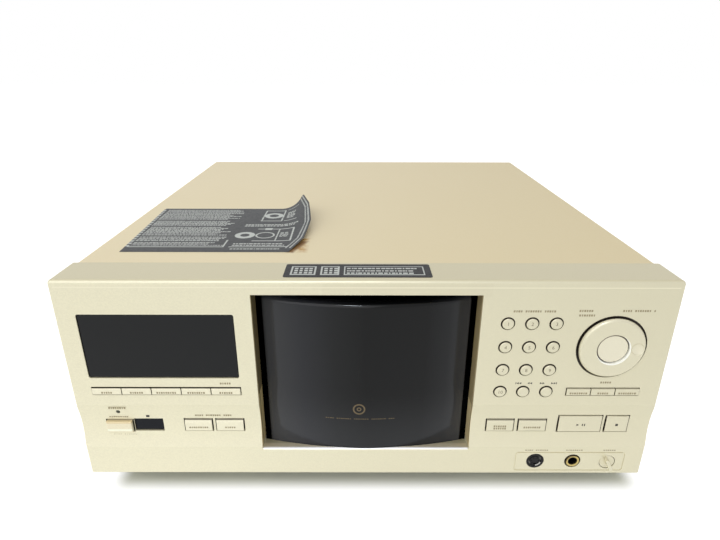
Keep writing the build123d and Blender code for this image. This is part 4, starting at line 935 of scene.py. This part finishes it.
@dataclass
class Stage:
    """Pale floor, soft light and the camera of the photograph."""

    camera_place: Triple = (-4.87, -529.37, 310.50)
    focal_pixels: float = 525.52
    frame_pixels: float = 720.0
    pitch: float = 0.384584
    yaw: float = 0.00109
    roll: float = 0.0021
    floor_half: float = 6000.0
    floor_z: float = -0.2
    # The floor's yellowish colour, which shows in and near the object's shadow, is painted bounce light from the gold
    # face
    floor_colour: Quad = (0.84, 0.85, 0.72, 1.0)
    floor_glow: float = 1.25
    white: Quad = (1.0, 1.0, 1.0, 1.0)
    footprint: Pair = (192.0, 202.0)
    shadow_shift: float = 8.0
    shadow_reach: float = 22.0
    world_level: float = 0.62
    aim: Triple = (0.0, -100.0, 90.0)
    key: Softbox = Softbox("key_softbox", (-500.0, -1500.0, 900.0), (1400.0, 1400.0), 9.5)
    side: Softbox = Softbox("side_softbox", (-1500.0, -300.0, 900.0), (900.0, 900.0), 2.0)
    window: Softbox = Softbox("window_glint", (-195.0, -1450.0, 1800.0), (270.0, 85.0), 10.0)
    window_colour: Triple = (0.84, 0.92, 1.0)

    def camera(self) -> None:
        """Place the camera where the photograph was taken from."""
        lens = bpy.data.cameras.new("photograph_view")
        lens.sensor_width = 36.0
        lens.lens = self.focal_pixels / self.frame_pixels * lens.sensor_width
        lens.clip_start = 0.01
        lens.clip_end = 50.0
        view = bpy.data.objects.new("photograph_view", lens)
        bpy.context.scene.collection.objects.link(view)
        flat = math.cos(self.pitch)
        ahead = Vector((math.sin(self.yaw) * flat, math.cos(self.yaw) * flat, -math.sin(self.pitch)))
        level = Vector((math.cos(self.yaw), -math.sin(self.yaw), 0.0))
        above = level.cross(ahead)
        right = math.cos(self.roll) * level + math.sin(self.roll) * above
        up = math.cos(self.roll) * above - math.sin(self.roll) * level
        turn = Matrix((right, up, -ahead)).transposed().to_4x4()
        view.matrix_world = Matrix.Translation(Vector(self.camera_place) * MM) @ turn
        bpy.context.scene.camera = view

    def world(self) -> None:
        """Light everything evenly, and show white where the camera, a gloss or a glass looks past the floor."""
        world = bpy.data.worlds.new("pale_room")
        bpy.context.scene.world = world
        tree = fresh_tree(world)
        level = add_node(tree, "Mix", {SHARE: plain_view(tree), LOW: self.world_level, HIGH: 1.0}, data_type="FLOAT")
        glow = add_node(tree, "Background", {"Color": self.white, "Strength": level})
        add_node(tree, "OutputWorld", {"Surface": glow})

    def floor(self) -> None:
        """Lay a floor that keeps the object's shadow and is lost in the white further off."""
        start("floor")
        bpy.ops.mesh.primitive_plane_add(size=2 * self.floor_half * MM, location=(0, 0, self.floor_z * MM))
        floor = bpy.context.object
        floor.name = "floor"
        material = bpy.data.materials.new("pale_floor")
        tree = fresh_tree(material)
        paper = add_node(tree, "BsdfDiffuse", {"Color": self.floor_colour})
        glow = add_node(tree, "Emission", {"Color": self.white, "Strength": self.floor_glow})
        place = add_node(tree, "TexCoord", output="Object")
        away = add_node(tree, "VectorMath", {0: place, 1: (self.shadow_shift * MM, 0.0, 0.0)}, operation="SUBTRACT")
        away = add_node(tree, "VectorMath", {0: away}, operation="ABSOLUTE")
        corner = [self.footprint[0] * MM, self.footprint[1] * MM, 0.0]
        away = add_node(tree, "VectorMath", {0: away, 1: corner}, operation="SUBTRACT")
        away = add_node(tree, "VectorMath", {0: away, 1: (0.0, 0.0, 0.0)}, operation="MAXIMUM")
        away = add_node(tree, "VectorMath", {0: away}, "Value", operation="LENGTH")
        limits = {"Value": away, "From Max": self.shadow_reach * MM}
        far = add_node(tree, "MapRange", limits, interpolation_type="SMOOTHSTEP")
        share = add_node(tree, "Math", {0: far, 1: plain_view(tree)}, operation="MULTIPLY")
        mixed = add_node(tree, "MixShader", {0: share, 1: paper, 2: glow})
        add_node(tree, "OutputMaterial", {"Surface": mixed})
        floor.data.materials.append(material)

    def lamp(self, softbox: Softbox) -> Piece:
        """Hang a soft lamp that looks at the object's middle.

        Args:
            softbox: What the lamp is like.

        Returns:
            The lamp.
        """
        light = bpy.data.lights.new(softbox.name, "AREA")
        light.shape = "RECTANGLE"
        light.size, light.size_y = softbox.size[0] * MM, softbox.size[1] * MM
        light.energy = softbox.power
        lamp = bpy.data.objects.new(softbox.name, light)
        bpy.context.scene.collection.objects.link(lamp)
        where = Vector(softbox.place) * MM
        aim = Vector(self.aim) * MM - where
        lamp.matrix_world = Matrix.Translation(where) @ aim.to_track_quat("-Z", "Y").to_matrix().to_4x4()
        return lamp

    def build(self) -> None:
        """Set the stage."""
        self.camera()
        self.world()
        self.floor()
        self.lamp(self.key)
        self.lamp(self.side)
        window = self.lamp(self.window)
        window.visible_diffuse = False
        window.data.color = self.window_colour
        bpy.context.scene.view_settings.view_transform = "Standard"


def drawn_in(away: float, radius: float) -> float:
    """Find how far a rounded corner draws a side in, at a distance from the corner's end."""
    if away >= radius:
        return 0.0
    return radius - math.sqrt(max(0.0, radius**2 - (radius - away) ** 2))


@dataclass
class FilmLabel:
    """A printed film label, made as a fine grid so that its print can follow its surface."""

    name: str
    left: float
    near: float
    width: float
    depth: float
    height: float
    finish: PaintedFilm = FILM
    cell: float = 0.45
    thick: float = 0.2
    corner: float = 1.5
    marks: list[Quad] = field(default_factory=list)
    rings: list[Quad] = field(default_factory=list)

    def bar(self, left: float, near: float, width: float, depth: float) -> None:
        """Print a light bar, in the label's own millimetres from its near left corner."""
        self.marks.append((left, near, left + width, near + depth))

    def frame(self, left: float, near: float, width: float, depth: float, line: float) -> None:
        """Print a light frame."""
        self.bar(left, near, width, line)
        self.bar(left, near + depth - line, width, line)
        self.bar(left, near, line, depth)
        self.bar(left + width - line, near, line, depth)

    def rows(self, box: Quad, pitch: float, seed: int, fine: float) -> None:
        """Print ruled rows of plain dashes of uneven length.

        Args:
            box: Left end, near edge, width and depth of the block.
            pitch: Distance from row to row.
            seed: Seed of the dashes' lengths.
            fine: Scale of the dashes' lengths.
        """
        left, near, width, depth = box
        dice = random.Random(seed)
        for row in range(int(depth / pitch)):
            place = left
            end = left + width * dice.uniform(0.82, 1.0)
            while place < end - 1.0:
                dash = min(dice.uniform(1.2, 4.2) * fine, end - place)
                self.bar(place, near + row * pitch, dash, pitch * 0.56)
                place += dash + dice.uniform(0.6, 1.1) * fine

    def printed(self, x: float, y: float) -> float:
        """Say how much ink lies at a place of the label.

        Args:
            x: Millimetres from the left edge.
            y: Millimetres from the near edge.

        Returns:
            1 on a mark, 0 elsewhere.
        """
        on_bar = any(a <= x <= c and b <= y <= d for a, b, c, d in self.marks)
        on_ring = any(abs(math.hypot(x - cx, y - cy) - r) <= line / 2 for cx, cy, r, line in self.rings)
        return float(on_bar or on_ring)

    def bend(self, x: float, y: float) -> Vector:
        """Place a point of the film by its distances from the left and near edges, flat unless a label bends it."""
        return Vector((self.left + x, self.near + y, self.height))

    def span(self, y: float) -> Pair:
        """Find where the film begins and ends across, at a distance from its near edge."""
        drawn = drawn_in(min(y, self.depth - y), self.corner)
        return drawn, self.width - drawn

    def build(self, *stands_for: str) -> None:
        """Model the film, print it and hand it over."""
        start(self.name)
        across, along = round(self.width / self.cell), round(self.depth / self.cell)
        bpy.ops.mesh.primitive_grid_add(x_subdivisions=across, y_subdivisions=along, size=1.0)
        film = bpy.context.object
        attribute = film.data.attributes.new("print", "FLOAT", "POINT")
        for index, vertex in enumerate(film.data.vertices):
            y = (vertex.co.y + 0.5) * self.depth
            begin, end = self.span(y)
            x = begin + (vertex.co.x + 0.5) * (end - begin)
            attribute.data[index].value = self.printed(x, y)
            vertex.co = self.bend(x, y) * MM
        film.data.update()
        wall = film.modifiers.new("film", "SOLIDIFY")
        wall.thickness = self.thick * MM
        wall.offset = 1.0
        wall.material_offset = 1
        film.data.materials.append(self.finish.build())
        film.data.materials.append(FILM_BACK.build())
        settle(film)
        smooth(film, 40)
        hand_over(film, self.name, self.finish, CABINET, "label_film", *stands_for)


@dataclass
class PeeledLabel(FilmLabel):
    """The label on the cover: its right side has let go and curls up, most of all at the back."""

    loose_from: Pair = (118.0, 108.0)
    turn: Pair = (0.05, 1.26)
    left_side: Pair = (2.6, -4.0)
    edge: tuple[Pair, ...] = ((0.0, 130.0), (2.0, 130.4), (28.0, 139.0), (60.0, 143.0), (95.0, 141.5), (121.0, 136.0))

    def right_side(self, y: float) -> float:
        """Find the right side, cut slantwise at the front and drawn in a little at the back.

        Args:
            y: Millimetres from the near edge.

        Returns:
            Distance of the right side from the left edge, along the film.
        """
        for (y0, x0), (y1, x1) in zip(self.edge, self.edge[1:]):
            if y <= y1:
                return x0 + (x1 - x0) * (y - y0) / (y1 - y0)
        return self.edge[-1][1]

    def span(self, y: float) -> Pair:
        """Find where the film begins and ends across, with its back corners rounded.

        Args:
            y: Millimetres from the near edge.

        Returns:
            Distances of both sides from the left edge.
        """
        drawn = drawn_in(self.depth - y, self.corner)
        front, back = self.left_side
        left = front + (back - front) * y / self.depth
        return left + min(drawn, 1.0), self.right_side(y) - drawn

    def bend(self, x: float, y: float) -> Vector:
        """Roll the film up past the line where it has let go.

        Args:
            x: Millimetres from the left edge.
            y: Millimetres from the near edge.

        Returns:
            The point in the model's frame.
        """
        share = y / self.depth
        begin = self.loose_from[0] + (self.loose_from[1] - self.loose_from[0]) * share
        ripple = max(0.0, 0.12 * math.sin(y / 9.0) * max(0.0, min(1.0, (x - 90.0) / 20.0)))
        beyond = x - begin
        if beyond <= 0:
            return Vector((self.left + x, self.near + y, self.height + ripple))
        turn = self.turn[0] + (self.turn[1] - self.turn[0]) * share**1.35
        radius = (self.right_side(y) - begin) / turn
        angle = beyond / radius
        reach, rise = radius * math.sin(angle), radius * (1 - math.cos(angle))
        return Vector((self.left + begin + reach, self.near + y, self.height + ripple + rise))


class Labels:
    """Both labels of the top, with ruled, generic print."""

    def shelf(self) -> FilmLabel:
        """Lay out the narrow label on the shelf."""
        label = FilmLabel("shelf_label", -56.0, FRONT + 5.4, 100.0, 23.6, TOP, finish=SHELF_FILM, cell=0.4)
        for left, width, columns in ((4.0, 17.5, 4), (24.5, 13.0, 3)):
            label.frame(left, 4.0, width, 15.5, 1.4)
            for column in range(columns):
                for row in range(3):
                    label.bar(left + 2.6 + 3.4 * column, 6.4 + 3.9 * row, 2.3, 2.6)
        label.frame(40.5, 4.0, 55.0, 15.5, 1.0)
        for near, seed in ((6.0, 3), (10.2, 4), (14.4, 12)):
            label.rows((42.5, near, 53.0, 3.6), 3.6, seed, 0.8)
        return label

    def cover(self) -> PeeledLabel:
        """Lay out the large label on the cover: ruled columns of dashes, two simple discs, a dotted edge."""
        label = PeeledLabel("peeled_label", -188.0, FRONT + 55.0, 143.0, 121.0, COVER_TOP, corner=5.0)
        slant, columns = 0.0545, (label.left_side[0] - 0.2, 6.2)
        for near, depth, seed in ((14.0, 9.6, 15), (25.0, 13.0, 5), (39.4, 25.6, 6), (66.4, 17.0, 7), (84.8, 33.0, 8)):
            label.rows((columns[1] - slant * near, near, 72.0 + 0.02 * near, depth), 3.0, seed, 0.68)
        for near in (12.0 + 5.6 * step for step in range(19)):
            label.bar(columns[0] - slant * near, near, 2.7, 3.1)
        for box, pitch, seed, fine in (
            ((84.0, 5.5, 42.0, 3.2), 3.2, 11, 0.7),
            ((84.0, 13.5, 46.0, 7.6), 3.8, 9, 0.8),
            ((117.5, 36.0, 8.0, 14.0), 2.4, 13, 0.8),
            ((84.0, 64.0, 48.0, 7.6), 3.8, 10, 0.8),
            ((117.0, 88.0, 9.0, 18.0), 3.0, 14, 0.8),
        ):
            label.rows(box, pitch, seed, fine)
        for box in (
            (4.0, 10.5, 74.0, 1.2),
            (77.0, 10.5, 1.2, 17.0),
            (82.0, 10.5, 46.0, 1.2),
            (97.0, 25.0, 31.0, 1.2),
            (97.0, 56.0, 31.0, 1.2),
            (127.0, 25.0, 1.4, 32.0),
            (103.0, 54.0, 6.0, 5.0),
            (115.0, 26.0, 1.0, 30.0),
            (115.6, 80.0, 12.0, 1.2),
            (115.6, 112.6, 12.0, 1.2),
        ):
            label.bar(*box)
        label.frame(95.0, 80.0, 19.0, 34.0, 1.2)
        label.rings += [(89.0, 40.0, 6.0, 4.4), (105.5, 40.0, 7.2, 1.4), (104.5, 97.0, 6.4, 4.2)]
        for near in (8.0 + 2.0 * step for step in range(56)):
            label.bar(label.right_side(near) - 3.2, near, 1.4, 1.5)
            label.bar(label.right_side(near) - 6.2, near, 1.2, 1.5)
        return label

    def build(self) -> None:
        """Make both labels."""
        self.shelf().build()
        self.cover().build("cover_labels")


@dataclass(frozen=True)
class Caption:
    """A row of short plain dashes that stands for a small caption."""

    x: float
    z: float
    width: float
    proud: float = 0.0
    height: float = 1.5


@dataclass
class Marks:
    """Plain marks on the face, the keys and the door: digits, player signs and dashes, never words."""

    lift: float = 0.02
    thick: float = 0.04
    digit_size: float = 2.7 * 1.35
    key_front: float = 1.1
    row_front: float = 1.0
    scoop_front: float = -1.3
    columns: Triple = (95.8, 112.2, 128.7)
    rows: Quad = (129.5, 111.3, 93.0, 74.9)
    sign_z: float = 44.6
    skip_z: float = 81.9
    dash_pitch: float = 1.6
    dash_widths: tuple[float, ...] = (1.2, 0.8, 1.25, 0.95, 1.1)
    long_caption: int = 10
    word: int = 8
    first_gap: int = 4

    def shape(self, points: list[Pair], proud: float, radius: float = 0.0) -> Piece:
        """Make a thin printed shape a hair before a surface of the face or of the door.

        Args:
            points: Corners as X and height above the panel's bottom, anticlockwise from the front.
            proud: How far the surface stands before the face plane.
            radius: Radius about the rack's axis of a curved surface, or 0 for a flat one.

        Returns:
            The mark.
        """
        corners = []
        for x, z in points:
            depth = RACK_Y - math.sqrt(radius**2 - x**2) if radius else FRONT - proud
            corners.append((x, depth - self.lift, BASE + z))
        return slab(corners, -self.thick)

    def bar(self, x: float, z: float, width: float, height: float, proud: float = 0.0, radius: float = 0.0) -> Piece:
        """Make a printed bar about a middle point."""
        w, h = width / 2, height / 2
        return self.shape([(x - w, z - h), (x + w, z - h), (x + w, z + h), (x - w, z + h)], proud, radius)

    def wedge(self, x: float, z: float, size: float, proud: float, way: int = 1) -> Piece:
        """Make a printed triangle that points right, or left where way is -1."""
        half = size / 2
        return self.shape([(x - half * way, z - half), (x + half * way, z), (x - half * way, z + half)][::way], proud)

    def ring(self, x: float, z: float, outer: float, inner: float, radius: float) -> list[Piece]:
        """Make a printed ring of short pieces on the door's curve.

        Args:
            x: Middle across the face.
            z: Middle above the panel's bottom.
            outer: Outer radius of the ring.
            inner: Inner radius of the ring.
            radius: Radius of the curved surface.

        Returns:
            The ring's pieces.
        """
        steps = 20
        places = [2 * math.pi * i / steps for i in range(steps + 1)]
        pieces = []
        for a, b in zip(places, places[1:]):
            corners = ((inner, a), (outer, a), (outer, b), (inner, b))
            points = [(x + reach * math.cos(turn), z + reach * math.sin(turn)) for reach, turn in corners]
            pieces.append(self.shape(points, 0.0, radius))
        return pieces

    def dashes(self, caption: Caption, radius: float = 0.0) -> list[Piece]:
        """Make a caption's dashes, with gaps between words where it is long."""
        count = max(1, round(caption.width / self.dash_pitch))
        first = caption.x - self.dash_pitch * (count - 1) / 2
        pieces = []
        for i in range(count):
            if count < self.long_caption or i % self.word != self.first_gap:
                x, width = first + self.dash_pitch * i, self.dash_widths[i % len(self.dash_widths)]
                pieces.append(self.bar(x, caption.z, width, caption.height, caption.proud, radius))
        return pieces

    def digits(self) -> None:
        """Print the numbers of the number keys, each on its own key."""
        for index in range(10):
            name = f"number_mark_{index + 1}"
            start(name)
            bpy.ops.object.text_add()
            text = bpy.context.object.data
            text.body = str(index + 1)
            text.size = self.digit_size * MM
            text.align_x = "CENTER"
            text.align_y = "CENTER"
            text.extrude = self.thick / 2 * MM
            text.resolution_u = 3
            bpy.ops.object.convert(target="MESH")
            mark = bpy.context.object
            x, z = self.columns[index % 3], self.rows[index // 3]
            settle(mark, at(x, FRONT - self.key_front - self.thick / 2, BASE + z, Axis.FRONT))
            hand_over(mark, name, DIGIT_PRINT, f"number_key_{index + 1}", "panel_gold")

    def signs(self) -> None:
        """Print the play, pause and stop signs on their keys."""
        start("play_mark")
        parts = [self.wedge(156.8, self.sign_z, 1.8, self.scoop_front)]
        parts += [self.bar(x, self.sign_z, 0.8, 1.8, self.scoop_front) for x in (160.3, 161.9)]
        hand_over(join(parts), "play_mark", DARK_PRINT, "play_key", "panel_gold")
        start("stop_mark")
        mark = self.bar(185.6, self.sign_z, 1.9, 1.9, self.scoop_front)
        hand_over(mark, "stop_mark", DARK_PRINT, "stop_key", "panel_gold")

    def caption(self, name: str, body: str, *rows: Caption) -> None:
        """Print rows of dashes as one piece on a body."""
        start(name)
        parts = [piece for row in rows for piece in self.dashes(row)]
        hand_over(join(parts), name, PAD_PRINT, body, "panel_gold")

    def key_captions(self) -> None:
        """Print a caption low on each key that has one."""
        for i, width in enumerate((8.7, 9.5, 14.0, 12.5, 9.5)):
            key = f"mode_key_{i + 1}"
            self.caption(f"caption_{key}", key, Caption(-185.35 + 21.3 * i, 74.0, width, self.row_front))
        for i, width in enumerate((12.5, 7.6, 12.0)):
            key = f"title_key_{i + 1}"
            self.caption(f"caption_{key}", key, Caption(151.8 + 17.4 * i, 74.0, width, self.row_front))
        for key, *rows in (
            ("loader_key_1", (-123.75, 41.9, 13.8, self.scoop_front, 1.3)),
            ("loader_key_2", (-100.45, 41.9, 8.0, self.scoop_front, 1.3)),
            ("track_key_1", (99.4, 43.2, 10.0, self.scoop_front), (99.4, 41.2, 10.0, self.scoop_front)),
            ("track_key_2", (123.2, 42.2, 12.8, self.scoop_front)),
        ):
            self.caption(f"caption_{key}", key, *(Caption(*row) for row in rows))

    def panel_captions(self) -> None:
        """Print the captions of the face itself, and the skip signs over the last two number keys."""
        rows = (
            (-100.2, 81.3, 7.5),
            (-181.0, 60.0, 13.5, -0.1),
            (-181.75, 51.0, 14.0, -1.9, 0.8),
            (-179.5, 34.6, 17.0, -2.0),
            (-112.1, 52.4, 27.0, -1.8, 1.2),
            (112.8, 138.8, 28.0),
            (147.3, 139.2, 9.0),
            (148.4, 135.8, 11.5),
            (183.0, 139.2, 22.0),
            (170.2, 82.6, 8.5),
            (128.9, 22.3, 17.0, 0.0, 0.8),
            (157.3, 22.3, 12.5, 0.0, 0.8),
            (183.8, 22.3, 9.5, 0.0, 0.8),
        )
        self.caption("panel_print", CABINET, *(Caption(*row) for row in rows))
        start("skip_signs")
        parts = []
        for x, way, ended in ((108.6, -1, True), (116.3, -1, False), (125.3, 1, False), (133.3, 1, True)):
            parts += [self.wedge(x + shift, self.skip_z, 1.6, 0.0, way) for shift in (-0.9, 0.9)]
            if ended:
                parts.append(self.bar(x + way * 2.1, self.skip_z, 0.5, 1.6))
        parts.append(self.bar(-160.4, 51.6, 2.4, 1.7, -1.85))
        hand_over(join(parts), "skip_signs", DARK_PRINT, CABINET, "panel_gold")

    def door_print(self) -> None:
        """Print a plain disc sign and a row of dashes low on the door."""
        start("door_print")
        parts = self.dashes(Caption(-4.2, 49.6, 52.0, 0.0, 0.7), DOOR_RADIUS)
        parts += self.ring(-5.0, 58.2, 4.6, 3.5, DOOR_RADIUS)
        parts += self.ring(-5.0, 58.2, 1.7, 0.9, DOOR_RADIUS)
        hand_over(join(parts), "door_print", GOLD_PRINT, "disc_door", "panel_gold")

    def build(self) -> None:
        """Print every mark."""
        self.digits()
        self.signs()
        self.key_captions()
        self.panel_captions()
        self.door_print()


@dataclass
class Face:
    """The lacquered face with its keys, dial, knob, windows, lamp and sockets."""

    key_rows: tuple[tuple[str, int], ...] = (("mode", 5), ("title", 3), ("number", 12), ("loader", 2), ("track", 2))
    lamp_x: float = -181.4
    lamp_z: float = 55.7
    lamp_radius: float = 1.45
    lamp_length: float = 5.0
    lamp_depth: float = 4.2
    lamp_dome: tuple[Pair, ...] = ((0.85, 0.35), (0.72, 0.22), (0.5, 0.12))
    socket_x: float = 128.9
    socket_z: float = 12.2
    shell_radius: float = 4.7
    shell_inner: float = 4.15
    shell_length: float = 4.4
    shell_depth: float = 5.4
    tongue_inner: float = 3.7
    tongue_proud: float = 0.05
    tongue_length: float = 1.6
    tongue_turns: range = range(-82, -17, 8)

    def lamp(self) -> None:
        """Model the unlit standby lamp: a domed resin body in its hole."""
        start("indicator_lamp")
        bpy.ops.mesh.primitive_cylinder_add(vertices=24, radius=self.lamp_radius * MM, depth=self.lamp_length * MM)
        lamp = bpy.context.object
        bpy.ops.object.mode_set(mode="EDIT")
        for shrink, lift in self.lamp_dome:
            pick_faces(lamp, lambda face: face.normal.z > 0.9)
            bpy.ops.mesh.extrude_region_move(TRANSFORM_OT_translate={"value": (0, 0, lift * MM)})
            bpy.ops.transform.resize(value=(shrink, shrink, 1))
        bpy.ops.object.mode_set(mode="OBJECT")
        settle(lamp, at(self.lamp_x, FRONT + self.lamp_depth, BASE + self.lamp_z, Axis.FRONT))
        smooth(lamp, 50)
        hand_over(lamp, "indicator_lamp", LAMP, CABINET, "window_smoke")

    def shell(self) -> None:
        """Line the round socket's groove with its plated shell and the tongue that keys the plug."""
        start("socket_shell")
        shell = tube(self.shell_radius, self.shell_inner, self.shell_length)
        settle(shell, at(self.socket_x, FRONT + self.shell_depth, BASE + self.socket_z, Axis.FRONT))
        turns = [math.radians(turn) for turn in self.tongue_turns]
        outline = [(self.shell_radius, a) for a in turns] + [(self.tongue_inner, a) for a in reversed(turns)]
        x, y, z = self.socket_x, FRONT - self.tongue_proud, BASE + self.socket_z
        tongue = slab([(x + r * math.cos(a), y, z + r * math.sin(a)) for r, a in outline], self.tongue_length)
        hand_over(join([shell, tongue]), "socket_shell", NICKEL, CABINET, "rod_steel")

    def build(self) -> None:
        """Dress the face's nodes and make its lamp and the round socket's shell."""
        dress(LACQUER, "front_panel")
        dress(KEY_LACQUER, *(f"{row}_key_{i + 1}" for row, count in self.key_rows for i in range(count)))
        dress(KEY_LACQUER, "play_key", "stop_key", "level_knob")
        dress(POWER_LACQUER, "power_key")
        dress(DIAL_LACQUER, "jog_dial")
        dress(PANE, "display_window")
        dress(DARK_PANE, "sensor_window")
        dress(JACK_NOSE, "phones_jack")
        dress(SOCKET_ABS, "keyboard_socket")
        dress(BOARD, "key_boards")
        self.lamp()
        self.shell()


@dataclass
class Casing:
    """Cover, base, rear panel, feet, screws and the rear's sockets."""

    foot_x: float = 160.0
    foot_y: float = 162.0
    foot_top: float = 16.9
    foot_bottom: float = 14.6
    foot_height: float = 14.0
    foot_rim: float = 2.2
    foot_groove: float = 0.9
    pad_gap: float = 0.6
    side_screw_y: Pair = (-120.0, 150.0)
    low_screw_z: float = BASE + 8.0
    high_screw_z: float = BASE + 152.0
    head_steps: tuple[Pair, ...] = ((0.07, 0.12), (0.14, 0.08))
    head_rounding: float = 0.22
    recess: Triple = (1.0, 0.26, 1.2)
    rear_screw_x: Triple = (-190.0, 0.0, 190.0)
    cover_half: float = 206.5
    phono_x: Pair = (-96.0, -76.0)
    phono_z: float = BASE + 62.0
    sleeve: Triple = (4.3, 3.2, 8.2)
    sleeve_out: float = 0.7
    collar: Triple = (5.4, 4.35, 1.6)
    collar_out: float = -1.1
    frames: tuple[Pair, ...] = ((-109.0, -63.0), (-50.0, -12.0), (-4.0, 16.0))
    frame_z: Pair = (60.0, 92.0)
    frame_line: float = 0.6
    ink: float = 0.06

    def foot(self) -> None:
        """Model one foot, a moulded cup with a groove and a felt pad, and copy it to the four corners."""
        start("foot")
        foot = upright_drum(64, self.foot_top, self.foot_height)
        foot.data.materials.append(FOOT_ABS.build())
        foot.data.materials.append(PAD_FELT.build())
        bpy.ops.object.mode_set(mode="EDIT")
        pick_faces(foot, lambda face: face.normal.z < -0.9)
        shrink = self.foot_bottom / self.foot_top
        bpy.ops.transform.resize(value=(shrink, shrink, 1))
        bpy.ops.mesh.inset(thickness=self.foot_rim * MM)
        bpy.ops.transform.translate(value=(0, 0, self.foot_groove * MM))
        bpy.ops.mesh.inset(thickness=self.pad_gap * MM)
        bpy.ops.mesh.extrude_region_move(TRANSFORM_OT_translate={"value": (0, 0, -self.foot_groove * MM)})
        foot.active_material_index = 1
        bpy.ops.object.material_slot_assign()
        bpy.ops.object.mode_set(mode="OBJECT")
        soften(foot, 0.6, 3)
        settle(foot)
        smooth(foot, 40)
        places = [(x, y) for x in (-self.foot_x, self.foot_x) for y in (-self.foot_y, self.foot_y)]
        for index, (x, y) in enumerate(places):
            copy = copy_piece(foot, at(x, y, 0.0))
            stands_for = ["feet"] if index == 0 else []
            hand_over(copy, f"foot_{index + 1}", FOOT_ABS, CABINET, "foot_plastic", *stands_for)
        bpy.data.objects.remove(foot)

    def screw(self, radius: float, height: float) -> Piece:
        """Model a pan-head screw with a cross recess, looking along +Z.

        Args:
            radius: Radius of the head.
            height: Height of the head.

        Returns:
            The screw, with its seat at the origin.
        """
        start("screw")
        head = upright_drum(32, radius, height)
        bpy.ops.object.mode_set(mode="EDIT")
        for step, lift in self.head_steps:
            pick_faces(head, lambda face: face.normal.z > 0.9)
            bpy.ops.mesh.inset(thickness=radius * step * MM)
            bpy.ops.transform.translate(value=(0, 0, lift * MM))
        bpy.ops.object.mode_set(mode="OBJECT")
        soften(head, height * self.head_rounding, 3, 60)
        settle(head)
        for turn in (0.0, 90.0):
            bpy.ops.object.select_all(action="DESELECT")
            bpy.ops.mesh.primitive_cube_add(size=1.0, location=(0, 0, height * MM))
            cutter = bpy.context.object
            long, wide, deep = self.recess
            cutter.scale = (radius * long * MM, radius * wide * MM, height * deep * MM)
            cutter.rotation_euler = (0, 0, math.radians(turn))
            settle(cutter)
            cut = head.modifiers.new("recess", "BOOLEAN")
            cut.operation = "DIFFERENCE"
            cut.solver = "EXACT"
            cut.object = cutter
            settle(head)
            bpy.data.objects.remove(cutter)
        smooth(head, 32)
        return head

    def screws(self) -> None:
        """Drive the cover's side screws and the rear panel's screws."""
        large = self.screw(4.0, 1.9)
        stands_for = ["screws"]
        for side, way in ((1, Axis.RIGHT), (-1, Axis.LEFT)):
            for y in self.side_screw_y:
                copy = copy_piece(large, at(side * self.cover_half, y, self.low_screw_z, way))
                name = f"cover_screw_{way.value}_{'near' if y < 0 else 'far'}"
                hand_over(copy, name, YELLOW_ZINC, CABINET, "screw_steel", *stands_for)
                stands_for = []
        bpy.data.objects.remove(large)
        small = self.screw(3.6, 1.7)
        for index, x in enumerate(self.rear_screw_x):
            for level, z in (("low", self.low_screw_z), ("high", self.high_screw_z)):
                copy = copy_piece(small, at(x, BACK, z, Axis.REAR))
                hand_over(copy, f"rear_screw_{level}_{index + 1}", YELLOW_ZINC, CABINET, "screw_steel")
        bpy.data.objects.remove(small)

    def sockets(self) -> None:
        """Put plated sleeves and coloured collars on the two phono sockets."""
        start("phono_sleeves")
        for x, side, ring in zip(self.phono_x, ("left", "right"), (WHITE_RING, RED_RING)):
            sleeve = tube(*self.sleeve)
            settle(sleeve, at(x, BACK + self.sleeve_out, self.phono_z, Axis.REAR))
            hand_over(sleeve, f"phono_sleeve_{side}", GOLD_PLATE, CABINET, "plated_nose")
            collar = tube(*self.collar)
            settle(collar, at(x, BACK + self.collar_out, self.phono_z, Axis.REAR))
            hand_over(collar, f"phono_collar_{side}", ring, CABINET, "socket_black")

    def rear_print(self) -> None:
        """Print plain frames round the groups of sockets on the rear panel."""
        start("rear_print")
        lines = []
        low, high = self.frame_z
        for left, right in self.frames:
            for x0, x1, z0, z1 in (
                (left, right, low, low + self.frame_line),
                (left, right, high - self.frame_line, high),
                (left, left + self.frame_line, low, high),
                (right - self.frame_line, right, low, high),
            ):
                bpy.ops.object.select_all(action="DESELECT")
                bpy.ops.mesh.primitive_cube_add(size=1.0)
                line = bpy.context.object
                line.scale = ((x1 - x0) * MM, self.ink * MM, (z1 - z0) * MM)
                line.location = ((x0 + x1) / 2 * MM, (BACK + self.ink / 2) * MM, (z0 + z1) / 2 * MM)
                settle(line)
                lines.append(line)
        hand_over(join(lines), "rear_print", DARK_PRINT, CABINET, "socket_black")

    def build(self) -> None:
        """Dress the casing's nodes and make its small pieces."""
        dress(ENAMEL, "top_cover")
        dress(ZINC, "chassis_base", "rear_panel")
        dress(BLACK_ABS, "rear_jacks", "cord_gland")
        self.foot()
        self.screws()
        self.sockets()
        self.rear_print()


class Works:
    """The door, the rack, the player mechanism and what is on the floor of the case."""

    def build(self) -> None:
        """Dress every node of the works."""
        dress(SMOKE, "disc_door")
        dress(RACK_STYRENE, "disc_rack", "rack_dividers")
        dress(ACETAL, "door_pinion", "rack_drive_gear", "sled_gear")
        dress(MOTOR_CAN, "drive_motors", "spindle_motor")
        dress(BLACK_COAT, "mech_chassis", "clamp_arm")
        dress(GROUND_ROD, "guide_rods")
        dress(BLACK_ABS, "turntable", "pickup_sled", "clamper", "loading_lever")
        dress(BOARD, "main_board")
        dress(CORE, "transformer")


def main() -> None:
    """Load the frame, dress it, and set the stage."""
    logging.basicConfig(level=logging.INFO, format="%(message)s")
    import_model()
    for part in (Stage(), Face(), Works(), Casing(), Labels(), Marks()):
        part.build()
        log.info("done %s", type(part).__name__)


if __name__ == "__main__":
    main()
